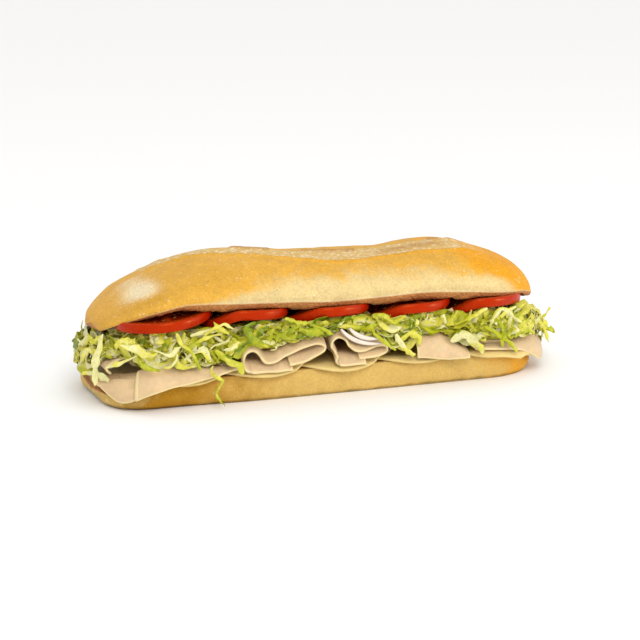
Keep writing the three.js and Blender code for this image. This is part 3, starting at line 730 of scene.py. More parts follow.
def lower_crust_finish(roll):
    """Matte side crust of the lower half, with painted shade along the floor, and darker towards both ends.
    """
    finish = Finish("lower_crust")
    place = finish.coordinate("X")
    height = finish.coordinate("Z")
    mottle = finish.grain(6, detail=4.0)
    patches = finish.grain(3.6, detail=2.0)
    fine = finish.grain(0.8, detail=3.0, roughness=0.6)
    blister = finish.dots(1.7)
    crumb = finish.mask("crumb")
    wander = (mottle - 0.5) * 0.04
    left = (place + wander).within(-0.012, -0.08) * (place + wander).within(-0.1, -0.082)
    heel = (place + wander * 0.3).within(-0.087, -0.094) * patches.within(0.5, 0.6)
    right = (place + wander).within(0.062, 0.084)
    # Painted shade: the crust darkens by up to half in its lowest 2 mm, where it meets the floor.
    foot = (height + (mottle - 0.5) * 0.002).within(0.0018, 0.0002)
    colour = finish.blend(roll.lower, roll.lower_dark, left)
    colour = finish.blend(colour, roll.toasted, right * 0.8)
    colour = finish.blend(colour, roll.flour_and_sheen, heel * 0.3)
    colour = finish.shade(colour, (mottle * 0.3 + fine * 0.44 + 0.63) * (1 - foot * 0.5))
    floury = blister.within(0.2, 0.08) * mottle.within(0.5, 0.62)
    colour = finish.blend(colour, roll.flour_and_sheen, floury * 0.5)
    inside = finish.shade(roll.crumb, finish.grain(1.8, detail=4.0) * 0.9 + 0.5)
    colour = finish.blend(colour, inside, crumb)
    relief = fine * 0.6 + blister.within(0.5, 0.1) * 0.3 + mottle * 0.5 + crumb * finish.grain(1.1) * 2.0
    return finish.surface(
        Base_Color=colour, Roughness=mottle * 0.2 + 0.6, Normal=finish.bump(relief, 0.35),
        Specular_IOR_Level=0.12)


def turkey_finish(filling):
    """Moist sliced turkey with a pale cut edge and a few specks of pepper."""
    finish = Finish("sliced_turkey")
    edge = finish.mask("edge")
    cloud = finish.grain(9, detail=3.0)
    strands = finish.grain(2.4, detail=4.0, spot=finish.stretched(1, 3, 1))
    fine = finish.grain(0.5, detail=2.0)
    pepper = finish.dots(6.5).within(0.075, 0.045) * cloud.within(0.5, 0.62)
    rim = (edge + (strands - 0.5) * 0.5).within(0.9, 0.4)
    colour = finish.shade(filling.turkey, cloud * 0.44 + strands * 0.36 + 0.6)
    colour = finish.blend(colour, filling.turkey_rim, rim)
    colour = finish.blend(colour, (0.1, 0.05, 0.02), pepper * 0.8)
    return finish.surface(
        Base_Color=colour, Roughness=strands * 0.2 + 0.3, Normal=finish.bump(strands + fine * 0.4, 0.12),
        Subsurface_Weight=0.25, Subsurface_Radius=(1.0, 0.45, 0.25), Subsurface_Scale=0.0018,
        Specular_IOR_Level=0.25)


def cheese_finish(filling):
    """Smooth pale cheese with tiny pits."""
    finish = Finish("sliced_cheese")
    cloud = finish.grain(8, detail=2.0)
    pits = finish.dots(2.6).within(0.12, 0.04)
    edge = finish.mask("edge")
    colour = finish.shade(filling.cheese, cloud * 0.12 + 0.92)
    colour = finish.shade(colour, 1 - edge.within(0.8, 0.1) * 0.06)
    return finish.surface(
        Base_Color=colour, Roughness=cloud * 0.15 + 0.3,
        Normal=finish.bump(cloud * 0.6 - pits * 0.4, 0.15), Subsurface_Weight=0.3,
        Subsurface_Radius=(1.0, 0.7, 0.25), Subsurface_Scale=0.002, Specular_IOR_Level=0.2)


def tomato_finish(filling):
    """Glossy skin round wet flesh with darker seed chambers."""
    finish = Finish("tomato_slice")
    skin = finish.mask("skin")
    gel = finish.mask("gel")
    streak = finish.grain(3, detail=3.0)
    fine = finish.grain(0.7, detail=2.0)
    seeds = finish.dots(3.2).within(0.3, 0.22) * gel
    colour = finish.blend(filling.flesh, filling.gel, gel)
    colour = finish.shade(colour, streak * 0.4 + 0.8)
    colour = finish.blend(colour, srgb(226, 176, 96), seeds * 0.8)
    colour = finish.blend(colour, finish.shade(filling.skin, streak * 0.3 + 0.85), skin)
    return finish.surface(
        Base_Color=colour, Roughness=streak * 0.1 + 0.22, Normal=finish.bump(fine * 0.3 + seeds, 0.2),
        Specular_IOR_Level=0.4, Specular_Tint=(1.0, 0.5, 0.12, 1.0))


def onion_finish(filling):
    """Watery white onion with thin purplish lines."""
    finish = Finish("onion_ring")
    edge = finish.mask("edge")
    lines = finish.grain(1.4, detail=2.0, spot=finish.stretched(6, 1, 6))
    rim = edge.within(0.5, 0.1)
    colour = finish.blend(filling.onion, filling.onion_line, rim * 0.7 + lines * 0.2)
    return finish.surface(
        Base_Color=colour, Roughness=lines * 0.1 + 0.2, Normal=finish.bump(lines, 0.1),
        Subsurface_Weight=0.4, Subsurface_Radius=(1.0, 0.9, 0.8), Subsurface_Scale=0.002)


def lettuce_finish(lettuce):
    """Crisp leaf: ribs pale and watery, leaf greener to its edges, with fine veins, and painted shade deep
    in the heap.
    """
    finish = Finish("lettuce_leaf")
    green = finish.mask("green")
    across = finish.mask("across")
    deep = finish.mask("deep")
    cloud = finish.grain(3.4, detail=4.0)
    veins = finish.dots(1.5)
    fine = finish.grain(0.6, detail=2.0)
    amount = green + (cloud - 0.5) * 0.8 + (across - 0.5) * 0.16
    colour = finish.blend(lettuce.white, lettuce.pale, amount.within(0.08, 0.38))
    colour = finish.blend(colour, lettuce.green, amount.within(0.4, 0.78))
    colour = finish.blend(colour, lettuce.deep, amount.within(0.78, 1.15))
    colour = finish.shade(colour, fine * 0.18 + veins.within(0, 0.6) * 0.16 + 0.8)
    # Painted shade: shreds deep in the heap or under the roof turn toward the dark core colour.
    colour = finish.blend(colour, lettuce.core, deep * 0.85)
    return finish.surface(
        Base_Color=colour, Roughness=cloud * 0.15 + 0.32,
        Normal=finish.bump(cloud * 0.6 + veins * 0.5 + fine * 0.3, 0.2), Subsurface_Weight=0.12,
        Subsurface_Radius=(0.9, 0.9, 0.1), Subsurface_Scale=0.001, Specular_IOR_Level=0.35)


def core_finish(lettuce):
    """Painted shade: dark lettuce colour on the body between the shreds."""
    finish = Finish("lettuce_shade_core")
    cloud = finish.grain(3, detail=4.0, spot=finish.stretched(3, 1, 1))
    fine = finish.grain(1.2, detail=3.0)
    colour = finish.shade(lettuce.core, cloud * 1.3 + 0.3)
    return finish.surface(Base_Color=colour, Roughness=0.6, Normal=finish.bump(cloud + fine * 0.5, 1.5))


def cheese_grid(centre_x):
    """Middle surface of a cheese slice: left part on the bread, right part on the next slice."""
    radius = CHEESE["radius"]
    across = np.sin(np.linspace(-1, 1, 76) * math.pi / 2)[:, None] * 0.995
    depth = np.sin(np.linspace(-1, 1, 48) * 1.35)[None, :] / math.sin(1.35)
    chord = np.sqrt(1 - across ** 2) * radius * (1 + 0.01 * np.sin(3 * across + centre_x))
    x = centre_x + across * radius + np.zeros_like(depth)
    y = CHEESE["centre_y"] + chord * depth
    beyond = np.hypot(x - centre_x - CHEESE["pitch"], y - CHEESE["centre_y"]) - radius
    step = CHEESE["step"] * (1 - eased(beyond, 0.3, 5))
    z = layer_height(x, y, CHEESE["lift"] + step, CHEESE["droop"])
    return np.stack([x, y, z + np.zeros_like(x)], axis=-1)


def fold_grid(fold):
    """Middle surface of a slice folded in an S."""
    line = smooth_line([(out, 0, height) for out, height in fold["outline"]], 150)
    y = stations(TURKEY["front"], TURKEY["back"], 70, 0.5)[None, :]
    out, height = line[:, :1], line[:, 2:]
    x = fold["from"] + out + TURKEY["lean"] * (y - TURKEY["front"])
    z = deck(x, y) + 1.0 + height * fold_share(y)
    grid = np.stack([x, y + np.zeros_like(x), z], axis=-1)
    ruffle = 0.35 * lumps(grid * np.array([1, 0.5, 0]), 7, 31)
    grid[..., 2] += ruffle * eased(height, 2.2, 4)
    near = 1 - eased(y, TURKEY["front"], -20)
    rim_wave = lumps(np.stack([x, 0 * x, 3 * height + 0 * x], axis=-1), 6, 32)
    grid[..., 1] += (0.9 * rim_wave - 0.9 * (height < 0.4)) * near
    return grid


# Slices that go round a front corner of the roll. Along the roll's edge, counted from the end of the
# corner's arc and negative round the corner: height of the brow and of the hanging edge. The right
# one has no crease, so its crease is set far off the slice
LEFT_SLICE = {
    "side": -1, "corner": 20.0, "straight": -79.5, "walk": (-30, 32.5), "crease": -9.3,
    "proud": (2.6, 5.2, -10.1, -8.5), "taper": 1.8, "depth": (6, 60, -5, 14),
    "brow": (
        (-30, 10.4), (-24, 11.8), (-17, 13), (-10, 13.9), (-8.6, 17), (0, 17.4), (7, 17.8), (17, 17.1),
        (32.5, 15.9),
    ),
    "low": (
        (-30, 10), (-27.7, 9.8), (-23.7, 8.2), (-19.5, 5.9), (-16.6, 4.4), (-13.2, 4.2), (-10.1, 5.3),
        (-6.4, 7.4), (-3.1, 8.8), (2.6, 10.5), (9.8, 11.4), (17, 12.5), (24.7, 13.8), (32.5, 15.5),
    ),
}
RIGHT_SLICE = {
    "side": 1, "corner": 30.0, "straight": 70.0, "walk": (-38, 9), "crease": -100.0,
    "proud": (5.4, 3, -22, -16), "taper": 0, "depth": (22, 58, -1, 9),
    "brow": ((-38, 14.6), (-32, 16), (-25, 16.4), (-16, 16), (-9.5, 15.6), (0, 15.6), (9, 15.4)),
    "low": (
        (-38, 7.6), (-34, 6), (-28, 4.9), (-23, 5.9), (-20, 8), (-16, 10.5), (-9.5, 12.4), (0, 13.6),
        (9, 14.4),
    ),
}


def corner_slice_grid(form):
    """Middle surface of a slice that goes round a corner, and a mask for the line of its crease."""
    start, end = form["walk"]
    crease = form["crease"]
    close = np.clip(np.linspace(crease - 1.7, crease + 1.7, 24), start, end)
    walk = np.unique(np.concatenate([np.linspace(start, end, 100), close]))[:, None]
    v = np.linspace(0, 1, 80)[None, :]
    inner = np.minimum(2 * v, 1)
    hang = np.maximum(2 * v - 1, 0)
    proud = between(*form["proud"][:2], eased(walk, *form["proud"][2:]))
    proud = proud - form["taper"] * eased(walk, 8, 32)
    depth = between(*form["depth"][:2], eased(walk, *form["depth"][2:]))
    out = -depth * (1 - inner) + proud * np.sin(hang * math.pi / 2) - 0.6 * (1 - hang)
    corner = form["corner"]
    arc = -np.minimum(walk, 0) / corner
    x = form["straight"] + form["side"] * ((corner + out) * np.sin(arc) - np.maximum(walk, 0))
    y = corner - BASE["half"] - (corner + out) * np.cos(arc)
    brow = height_along(form["brow"], walk)
    flat = deck(x, y) + 1.1
    on_shelf = np.maximum(between(flat, brow, eased(inner, 0.55, 1)), flat)
    z = np.where(hang > 0, between(brow, height_along(form["low"], walk), hang ** 1.4), on_shelf)
    grid = np.stack([x, y, z], axis=-1)
    ruffle = lumps(np.stack(np.broadcast_arrays(walk, 2 * v, 0 * v), axis=-1), 5, 41)
    grid = relieve(grid, 0.35 * ruffle * eased(v, 0.4, 0.8), 0)
    return grid, np.abs(walk - crease - 0.6) + 1.5 * (1 - eased(v, 0.5, 0.56)) + 0.3


def broad_slice_grid():
    """Middle surface of the broad slice right of the middle, whose face slopes down to the right."""
    x = stations(33.0, 57.5, 70, 0.5)[:, None]
    v = np.linspace(0, 1, 100)[None, :]
    shelf = 0.62
    inner = np.minimum(v / shelf, 1)
    hang = np.maximum(v - shelf, 0) / (1 - shelf)
    edge = 0.8 - BASE["half"]
    y = between(29.0, edge, inner) - 5.8 * np.sin(hang * math.pi / 2) + np.zeros_like(x)
    brow = 23.2 - 8.2 * eased(x, 43, 59)
    on_shelf = between(deck(x, y) + 1.1, brow, eased(inner, 0.35, 1))
    z = np.where(hang > 0, between(brow, between(13.6, 11.6, eased(x, 33, 50)), hang ** 1.5), on_shelf)
    grid = np.stack([x + np.zeros_like(y), y, z], axis=-1)
    grid[..., 1] += 0.35 * lumps(grid * np.array([1, 0.3, 0.3]), 6, 41) * eased(v, 0.4, 0.8)
    return grid


def curl_grid():
    """Middle surface of the loose curl at the roll's left end."""
    u = np.linspace(0, 1, 60)[:, None]
    v = np.linspace(0, 1, 60)[None, :]
    angle = between(-0.25, 1.1, u) * math.pi
    x = -93 - 5.8 * np.cos(angle) + 2 * v
    y = between(-23.5, 18, v) + np.zeros_like(x)
    z = deck(np.maximum(x, -96), y) + 3.4 + 2.7 * (1 + np.sin(angle)) * between(1, 0.88, v)
    return np.stack([x, y, z], axis=-1)


def onion_grid(arc):
    """Middle surface of an arc of onion ring."""
    u = np.linspace(0, 1, 50)[:, None]
    v = np.linspace(0, 1, 7)[None, :]
    angle = np.radians(between(-30, 30, u) + arc["turn"])
    reach = arc["radius"] + 2.4 * (v - 0.5) * np.sin(math.pi * between(0.12, 0.88, u))
    rise = reach * np.sin(angle)
    x = arc["x"] + reach * np.cos(angle)
    return np.stack([x, arc["y"] - 0.12 * rise, arc["z"] + 0.8 * rise], axis=-1)


def tomato_shape(cut, seed):
    """Points, faces and masks of a tomato slice with seed chambers pressed into both faces."""
    half = TOMATO_THICKNESS / 2
    turn = np.linspace(0, 2 * math.pi, 121)[:-1][None, :]
    faces_in = np.linspace(0.02, 0.965, 24)
    rim = np.radians(np.linspace(-90, 90, 9))
    radial = np.concatenate([faces_in, 0.965 + 0.035 * np.cos(rim), faces_in[::-1]])[:, None]
    level = np.concatenate([faces_in * 0 - 1, np.sin(rim), faces_in * 0 + 1])[:, None]
    around = np.concatenate([faces_in * 0, np.cos(rim) ** 0.5, faces_in * 0])[:, None]
    lobe = 1 + 0.012 * np.sin(3 * turn + seed) + 0.01 * np.sin(5 * turn + 2 * seed)
    radius = cut["radius"] * radial * lobe
    sector = np.abs(((turn + seed) * cut["chambers"] / (2 * math.pi)) % 1 - 0.5) * 2
    wall = 1.6 / np.maximum(radius * math.pi / cut["chambers"], 0.1)
    gel = eased(1 - sector, wall * 0.5, wall * 1.3) * eased(radial, 0.3, 0.38)
    gel = gel * (1 - eased(radial, 0.78, 0.84)) * (1 - around)
    x = radius * np.cos(turn)
    y = radius * np.sin(turn)
    z = (half - 0.45 * gel) * level + 0 * x
    middle_y = cut["radius"] + TOMATO_FRONT
    middle = tomato_middle(cut, x + cut["x"], y + middle_y)
    points = np.stack([x + cut["x"], y + middle_y, middle + z], axis=-1)
    centres = [points[0].mean(axis=0), points[-1].mean(axis=0)]
    every = np.concatenate([points.reshape(-1, 3), centres])
    masks = {"skin": eased(around + 0 * x, 0.1, 0.6), "gel": gel + 0 * x}
    masks = {name: np.concatenate([values.ravel(), [0, 0]]) for name, values in masks.items()}
    return every, tube_faces(*points.shape[:2]), masks


def heap_outline():
    """Closed plan outline of the heap as (points, outward directions), about 1 mm apart."""
    def edge(x, side):
        end = HEAP["left"] if x < 0 else HEAP["right"]
        into = min(max((abs(x) - abs(end) + HEAP["corner"]) / HEAP["corner"], 0), 0.999)
        reach = -HEAP["front"] if side < 0 else HEAP["back"]
        return side * reach * between(HEAP["tip_share"], 1, math.sqrt(1 - into ** 2))
    turns = np.linspace(0, math.pi, 400)
    xs = between(HEAP["left"], HEAP["right"], (1 - np.cos(turns)) / 2)
    front = [(x, edge(x, -1)) for x in xs]
    back = [(x, edge(x, 1)) for x in xs[::-1]]
    loop = np.array(front + back + front[:1])
    walked = np.concatenate([[0], np.cumsum(np.linalg.norm(np.diff(loop, axis=0), axis=1))])
    at = np.linspace(0, walked[-1], int(walked[-1]))[:-1]
    points = np.stack([np.interp(at, walked, loop[:, k]) for k in range(2)], axis=-1)
    run = unit(np.roll(points, -4, axis=0) - np.roll(points, 4, axis=0))
    return points, np.stack([run[:, 1], -run[:, 0]], axis=-1)


def fold_tops(fold):
    """Highest point of a fold at each millimetre from its left side, as (places, heights)."""
    line = smooth_line([(out, 0, height) for out, height in fold["outline"]], 150)
    places = np.arange(-0.5, line[:, 0].max(), 1.0)
    return places, [line[np.abs(line[:, 0] - place) < 1, 2].max() for place in places]


def bed_height(x, y):
    """Top of the sliced filling under the heap."""
    inner = np.maximum(y, -33)
    height = deck(x, inner) + 0.6
    for fold in FOLDS:
        out = x - TURKEY["lean"] * (y - TURKEY["front"]) - fold["from"]
        places, tops = fold_tops(fold)
        profile = np.interp(out, (-2.5, *places, places[-1] + 2), (0, *tops, 0))
        height = np.maximum(height, deck(x, inner) + 1.7 + profile * fold_share(y))
    # Slices that hang over the front edge: left end, right end and height of the brow
    hanging = (
        (-103.0, -47.0, between(13.5, 17.6, eased(x, -91, -88)) + 0.8),
        (-99.5, -87.0, 20.8),
        (32.0, 58.5, 24 - 8.2 * eased(x, 43, 59)),
        (60.0, 101.5, 17.2),
    )
    for start, end, brow in hanging:
        on = eased(x, start - 1, start + 0.5) * (1 - eased(x, end - 0.5, end + 1))
        rise = between(deck(x, inner) + 2, brow, eased(-y, -4, 22))
        height = np.maximum(height, on * rise)
    return height


def roof_height(x, y):
    """Underside of the tomato or crumb over the heap."""
    inward = np.clip(x, TOP["left"] + 3, TOP["right"] - 3)
    height = crumb_face(inward, np.clip(y, -34, 34)) - 0.6
    for cut in TOMATO_SLICES:
        inside = tomato_reach(cut, x, y) < cut["radius"] + 2
        under = tomato_middle(cut, x, y) - TOMATO_THICKNESS / 2 - 0.3
        height = np.where(inside, np.minimum(height, under), height)
    sloping = 33.5 - 0.55 * np.maximum(x - 87, 0) - 0.75 * np.maximum(-93 - x, 0)
    return np.minimum(height, sloping)


SHRED_ROWS = 14
SHRED_COLUMNS = 4


class ShredPile:
    """Collects many shreds into one mesh, crinkled and given their thickness together."""

    def __init__(self, crinkle):
        self.crinkle = crinkle
        self.grids, self.halves, self.green, self.deep = [], [], [], []

    def add(self, grid, thickness, green, deep=0.0):
        """Keeps one shred, with how green it is and how much painted shade it gets from lying deep in the
        heap.
        """
        self.grids.append(grid)
        self.halves.append(thickness / 2)
        self.green.append(green + np.zeros(grid.shape[:2]))
        self.deep.append(deep + np.zeros(grid.shape[:2]))

    def finished(self, name, finish, nodes):
        """Makes the piece from all the shreds."""
        grids = np.stack(self.grids)
        count = len(grids)
        apart = grids + (37 * np.arange(count))[:, None, None, None]
        wrinkle = lumps(apart, 2.6, 61) + 0.7 * lumps(apart, 1.3, 62)
        grids = grids + grid_normals(grids) * (self.crinkle * wrinkle)[..., None]
        across = np.abs(np.linspace(-1, 1, SHRED_COLUMNS))
        half = np.array(self.halves)[:, None, None] * (1 - 0.5 * across ** 3)
        offset = grid_normals(grids) * half[..., None]
        points = np.stack([grids + offset, grids - offset], axis=1).reshape(-1, 3)
        one = np.array(slab_faces(SHRED_ROWS, SHRED_COLUMNS))
        starts = np.arange(count) * 2 * SHRED_ROWS * SHRED_COLUMNS
        faces = (one[None] + starts[:, None, None]).reshape(-1, 4).tolist()
        twice = {
            mask: np.repeat(np.stack(values)[:, None], 2, axis=1)
            for mask, values in (("green", self.green), ("deep", self.deep))
        }
        masks = twice | {"across": np.broadcast_to(across, twice["green"].shape)}
        piece = add_piece(name, points, faces, finish, nodes, masks)
        piece.data.set_sharp_from_angle(angle=math.radians(24))


def shred_grid(rng, path, width, up, roll, twist, cup, frill):
    """Middle surface of one ribbon of leaf with ragged sides and torn ends along a path."""
    spine = smooth_line(path, SHRED_ROWS)
    along = np.linspace(0, 1, SHRED_ROWS)[:, None]
    across = np.linspace(-1, 1, SHRED_COLUMNS)[None, :]
    run = unit(np.gradient(spine, axis=0))
    up = np.asarray(up, dtype=float)
    facing = unit(up - (run @ up)[:, None] * run)
    side = np.cross(run, facing)
    angle = roll + twist * (along - 0.5)
    normal = facing * np.cos(angle) + side * np.sin(angle)
    sideways = side * np.cos(angle) - facing * np.sin(angle)
    knots = rng.normal(0, 1, (4, 8))
    ragged = np.stack([np.interp(along[:, 0], np.linspace(0, 1, 8), line) for line in knots], axis=-1)
    spread = 1 + 0.34 * np.where(across < 0, ragged[:, :1], ragged[:, 1:2]) * np.abs(across)
    spread = spread + 0.16 * ragged[:, 2:3]
    spine = spine + 0.22 * ragged[:, 3:4] * facing
    ends = 1 - rng.uniform(0.3, 0.95) * (1 - along) ** 5 - rng.uniform(0.3, 0.95) * along ** 5
    half = width / 2 * np.clip(spread, 0.35, 1.8) * ends
    phase = rng.uniform(0, 6.28)
    waves = frill * np.sin(rng.uniform(12, 20) * along + phase + 0.9 * np.sign(across))
    waves = waves * np.abs(across) ** 1.4
    lift = cup * half * (1 - np.abs(across)) + waves
    slant = rng.uniform(-1.2, 1.2, 2)
    slide = half * across * (slant[0] * (1 - along) ** 4 + slant[1] * along ** 4)
    return (
        spine[:, None] + sideways[:, None] * (half * across)[..., None]
        + normal[:, None] * lift[..., None] + run[:, None] * slide[..., None]
    )


def random_path(rng, foot, outward, depth, level, length, lean, bend, tuck):
    """Five points of a curving path along the heap's side, its ends tucked inwards."""
    s = np.linspace(-0.5, 0.5, 5)
    along = np.array([-outward[1], outward[0]])
    wiggle = rng.normal(0, 0.05, 5) * length
    run = s * length * math.cos(lean) - bend * length * s ** 2 * math.sin(lean)
    rise = s * length * math.sin(lean) + bend * length * (s ** 2 - 0.08) * math.cos(lean) + wiggle
    inwards = depth + tuck * (2 * s) ** 2 + rng.normal(0, 0.5, 5)
    plan = foot + along * run[:, None] - outward * inwards[:, None]
    return np.column_stack([plan, level + rise])


def kept_in_heap(path, margin):
    """The path moved between the bed and the roof."""
    low = bed_height(path[:, 0], path[:, 1]) + margin
    high = np.maximum(roof_height(path[:, 0], path[:, 1]) - margin, low + 0.5)
    path = path.copy()
    path[:, 2] = np.clip(path[:, 2], low, high)
    return path


# Kinds of shred: share of the heap, how green, spread of that, width, thickness, frill and crinkle
SHRED_KEYS = ("share", "green", "spread", "wide", "thick", "frill", "crinkle")
SHRED_KINDS = {name: dict(zip(SHRED_KEYS, values)) for name, values in (
    ("rib", (0.24, 0.1, 0.12, 0.8, 1.4, 0, 0.14)),
    ("pale", (0.3, 0.34, 0.18, 1, 1, 0.35, 0.34)),
    ("green", (0.26, 0.6, 0.22, 0.9, 0.9, 0.5, 0.4)),
    ("curl", (0.2, 0.66, 0.25, 1.7, 0.8, 0.9, 0.55)),
)}
# Depths in millimetres inside the heap's outline that shreds are drawn from, and the share of each
DEPTH_BANDS = ((0, 2.2), (2, 6), (5, 11))
DEPTH_SHARES = (0.25, 0.42, 0.33)

# Strands that show plainly on the front and the ends: kind, width, how green, roll and the places that
# the strand goes through
STRANDS = (
    ("rib", 4.4, 0.05, 0.2, (
        (-101, -25, 32), (-102.5, -27.5, 27.5), (-104, -28, 22.5), (-105, -28, 18), (-104.5, -27, 12.5))),
    ("rib", 3.4, 0.08, 0.5, ((-107.2, -16, 14.5), (-104.5, -19, 15), (-101, -22, 14), (-98.5, -25, 12.5))),
    ("rib", 2.6, 0.2, 0.4, ((-102, -33, 20), (-97, -36, 22), (-90, -38, 25.5))),
    ("curl", 4.5, 0.35, 0.3, ((-98.5, -35, 29), (-96, -36, 31), (-93, -36.5, 30.5), (-90.5, -37, 31.5))),
    ("pale", 4.2, 0.25, 0.3, ((-96, -37, 30), (-90.5, -39, 28), (-86, -39.5, 25), (-83, -40, 25.5))),
    ("rib", 3.2, 0.1, -0.4, ((-83, -39, 27), (-77, -40, 25), (-73.5, -40, 28))),
    ("green", 2.8, 0.9, 0.2, ((-89.5, -38, 25), (-89, -39.5, 22), (-85.5, -40, 20), (-81, -40, 18.5))),
    ("rib", 1.8, 0.15, 0.6, ((-79.5, -39, 19.5), (-76, -40.5, 20.5), (-74, -40.5, 24), (-75, -39, 27))),
    ("pale", 2.4, 0.6, 0.3, (
        (-73, -38, 33), (-72.5, -40, 29), (-68.5, -41, 26), (-66, -41, 21.5), (-64, -41, 18))),
    ("rib", 2.2, 0.1, 0.2, ((-67.5, -38, 31.5), (-61, -39, 33), (-53, -38, 33.5))),
    ("pale", 2.4, 0.3, 0.3, ((-62, -39.5, 32), (-57, -40.5, 35), (-53.5, -40.5, 35.5), (-50, -40, 33.5))),
    ("green", 2.6, 0.5, 0.4, ((-58, -39.5, 37), (-56, -40.5, 34), (-52, -40.5, 32))),
    ("green", 3.0, 0.7, 0.3, ((-27, -39.5, 36), (-22, -40.5, 34), (-17, -40, 33))),
    ("curl", 2.6, 0.6, 0.3, ((12, -39.5, 34), (17, -40.5, 33.5), (21, -40.5, 31), (26, -40, 32))),
    ("pale", 2.6, 0.35, -0.3, ((-65.5, -39, 28.5), (-60.5, -40, 31), (-54, -39.5, 32))),
    ("rib", 2.4, 0.05, 0.2, ((-54, -40, 25), (-50.5, -40.5, 25.5), (-47.5, -40, 28))),
    ("green", 3.6, 0.6, 0.3, ((-57, -39, 25), (-52.5, -40.5, 20.5), (-48, -41, 18), (-46, -41, 14.5))),
    ("curl", 3.2, 0.95, 0.4, (
        (-39.5, -38, 35), (-44, -40, 33.5), (-42, -41, 29.5), (-38, -41.5, 26), (-34, -41, 25.5))),
    ("curl", 3.4, 0.9, 0.5, ((-32, -40, 24.5), (-30, -41, 29), (-25, -41, 31), (-20, -40, 31.5))),
    ("curl", 3.6, 0.9, 0.2, ((-26, -38, 35), (-22, -40, 31.5), (-15, -41, 29.5), (-10, -40.5, 28))),
    ("green", 2.6, 0.8, 0.3, ((-17, -39, 33), (-10, -41, 30), (-6, -41, 27))),
    ("green", 2.2, 0.75, 0.2, ((10, -38, 31), (15, -40.5, 24), (22, -41, 18.5))),
    ("rib", 3.2, 0.2, 0.3, ((23, -39, 25), (26.5, -40.5, 19), (30.5, -41, 15.5))),
    ("pale", 3.8, 0.5, 0.3, ((24.5, -38.5, 21.5), (29, -39.5, 24.5), (33, -40, 23), (33, -40, 19))),
    ("pale", 3.0, 0.55, -0.5, ((50.5, -39, 27), (56.5, -40.5, 29.5), (65, -40, 33))),
    ("curl", 5.2, 0.15, 0.4, ((48.5, -39, 19.5), (54, -40.5, 22), (60, -41, 18), (63, -41, 14))),
    ("green", 3.4, 0.8, 0.2, ((64, -39, 25), (70.5, -40, 21), (76.5, -39.5, 16.5), (80, -38, 12.5))),
    ("curl", 3.6, 0.85, 0.3, ((69.5, -38, 28), (73, -40, 22), (72, -40, 15.5))),
    ("green", 1.8, 0.6, 0.3, ((101.5, -15, 17), (105, -14, 20), (108.5, -14, 24.5))),
    ("curl", 3.2, 0.7, 0.4, ((99, -24, 17), (103.5, -21, 17.5), (108.5, -19, 14))),
    ("pale", 2.6, 0.4, 0.3, ((97, -22, 22), (100.5, -24, 18), (103, -24, 11.5))),
    ("curl", 3.0, 0.5, 0.4, ((-103.5, -13, 29.5), (-102.5, -17, 27.5), (-100, -19, 30))),
    ("pale", 3.2, 0.3, 0.2, ((-101, -17, 23.5), (-105, -16, 24), (-107, -14.5, 19.5))),
    ("green", 2.2, 0.5, 0.6, (
        (-59, -41, 19), (-60, -41.5, 16.5), (-57, -42, 14), (-55, -41.5, 12), (-58, -41, 7.5),
        (-56.5, -41, 4.5), (-54, -40.5, 1.6))),
)


def fill_heap(piles, lettuce):
    """Random shreds all round the heap, from deep inside it out to its uneven outline."""
    rng = np.random.default_rng(lettuce.seed)
    points, outward = heap_outline()
    names = list(SHRED_KINDS)
    shares = np.array([SHRED_KINDS[name]["share"] for name in names])
    for _ in range(int(len(points) * lettuce.crowding)):
        spot = rng.integers(len(points))
        foot, out = points[spot], outward[spot]
        name = names[rng.choice(len(names), p=shares / shares.sum())]
        kind = SHRED_KINDS[name]
        depth = rng.choice([rng.uniform(*band) for band in DEPTH_BANDS], p=DEPTH_SHARES)
        inner = foot - out * (depth + 3)
        low = float(bed_height(*inner)) + 1
        high = max(float(roof_height(*inner)) - 1, low + 2)
        level = rng.uniform(low, high)
        height = (level - low) / (high - low)
        left, right = eased(-foot[0], 80, 98), eased(foot[0], 85, 102)
        # Painted shade: deeper shreds, and those just under the roof, are darkened toward the core colour.
        painted_shade = float(eased(depth + 2 * (height > 0.85), 1.2, 7.5))
        depth += 2.6 * (height - 0.4) ** 2 + left * between(-2.5, 8, eased(level, 17, 31))
        depth += right * between(-0.5, 11, eased(level, 15, 31))
        lean = rng.normal(0, 0.35) if rng.random() < 0.5 else rng.uniform(-1.4, 1.4)
        length = rng.uniform(7, 22) * (0.65 if abs(lean) > 0.7 else 1)
        path = random_path(
            rng, foot, out, depth, level, length, lean, rng.normal(0, 1.1), rng.uniform(-0.5, 4.5))
        path = kept_in_heap(path, 1.0)
        tip = rng.uniform(-0.5, 0.95)
        up = (out[0] * math.cos(tip), out[1] * math.cos(tip), math.sin(tip))
        width = lettuce.width / MM * kind["wide"] * rng.uniform(0.45, 1.35)
        roll, twist, cup = rng.normal(0, 0.45), rng.normal(0, 1.2), rng.uniform(-0.6, 0.6)
        grid = shred_grid(rng, path, width, up, roll, twist, cup, kind["frill"])
        fade = rng.normal(0, 0.55) * np.linspace(-0.5, 0.5, SHRED_ROWS)[:, None]
        fade = fade + rng.normal(0, 0.6) * np.linspace(-0.5, 0.5, SHRED_COLUMNS)[None, :]
        green = kind["green"] + rng.normal(0, kind["spread"]) + fade
        green = green + 0.16 * bell(foot[0], -12, 22) - 0.12 * eased(np.abs(foot[0]), 35, 80)
        # More painted shade at the left end, less towards the right.
        painted_shade = min(painted_shade * 1.15 + 0.12 * left, 1) * (1 - 0.6 * float(eased(foot[0], 0, 60)))
        piles[name].add(grid, lettuce.thickness / MM * kind["thick"], green, painted_shade)


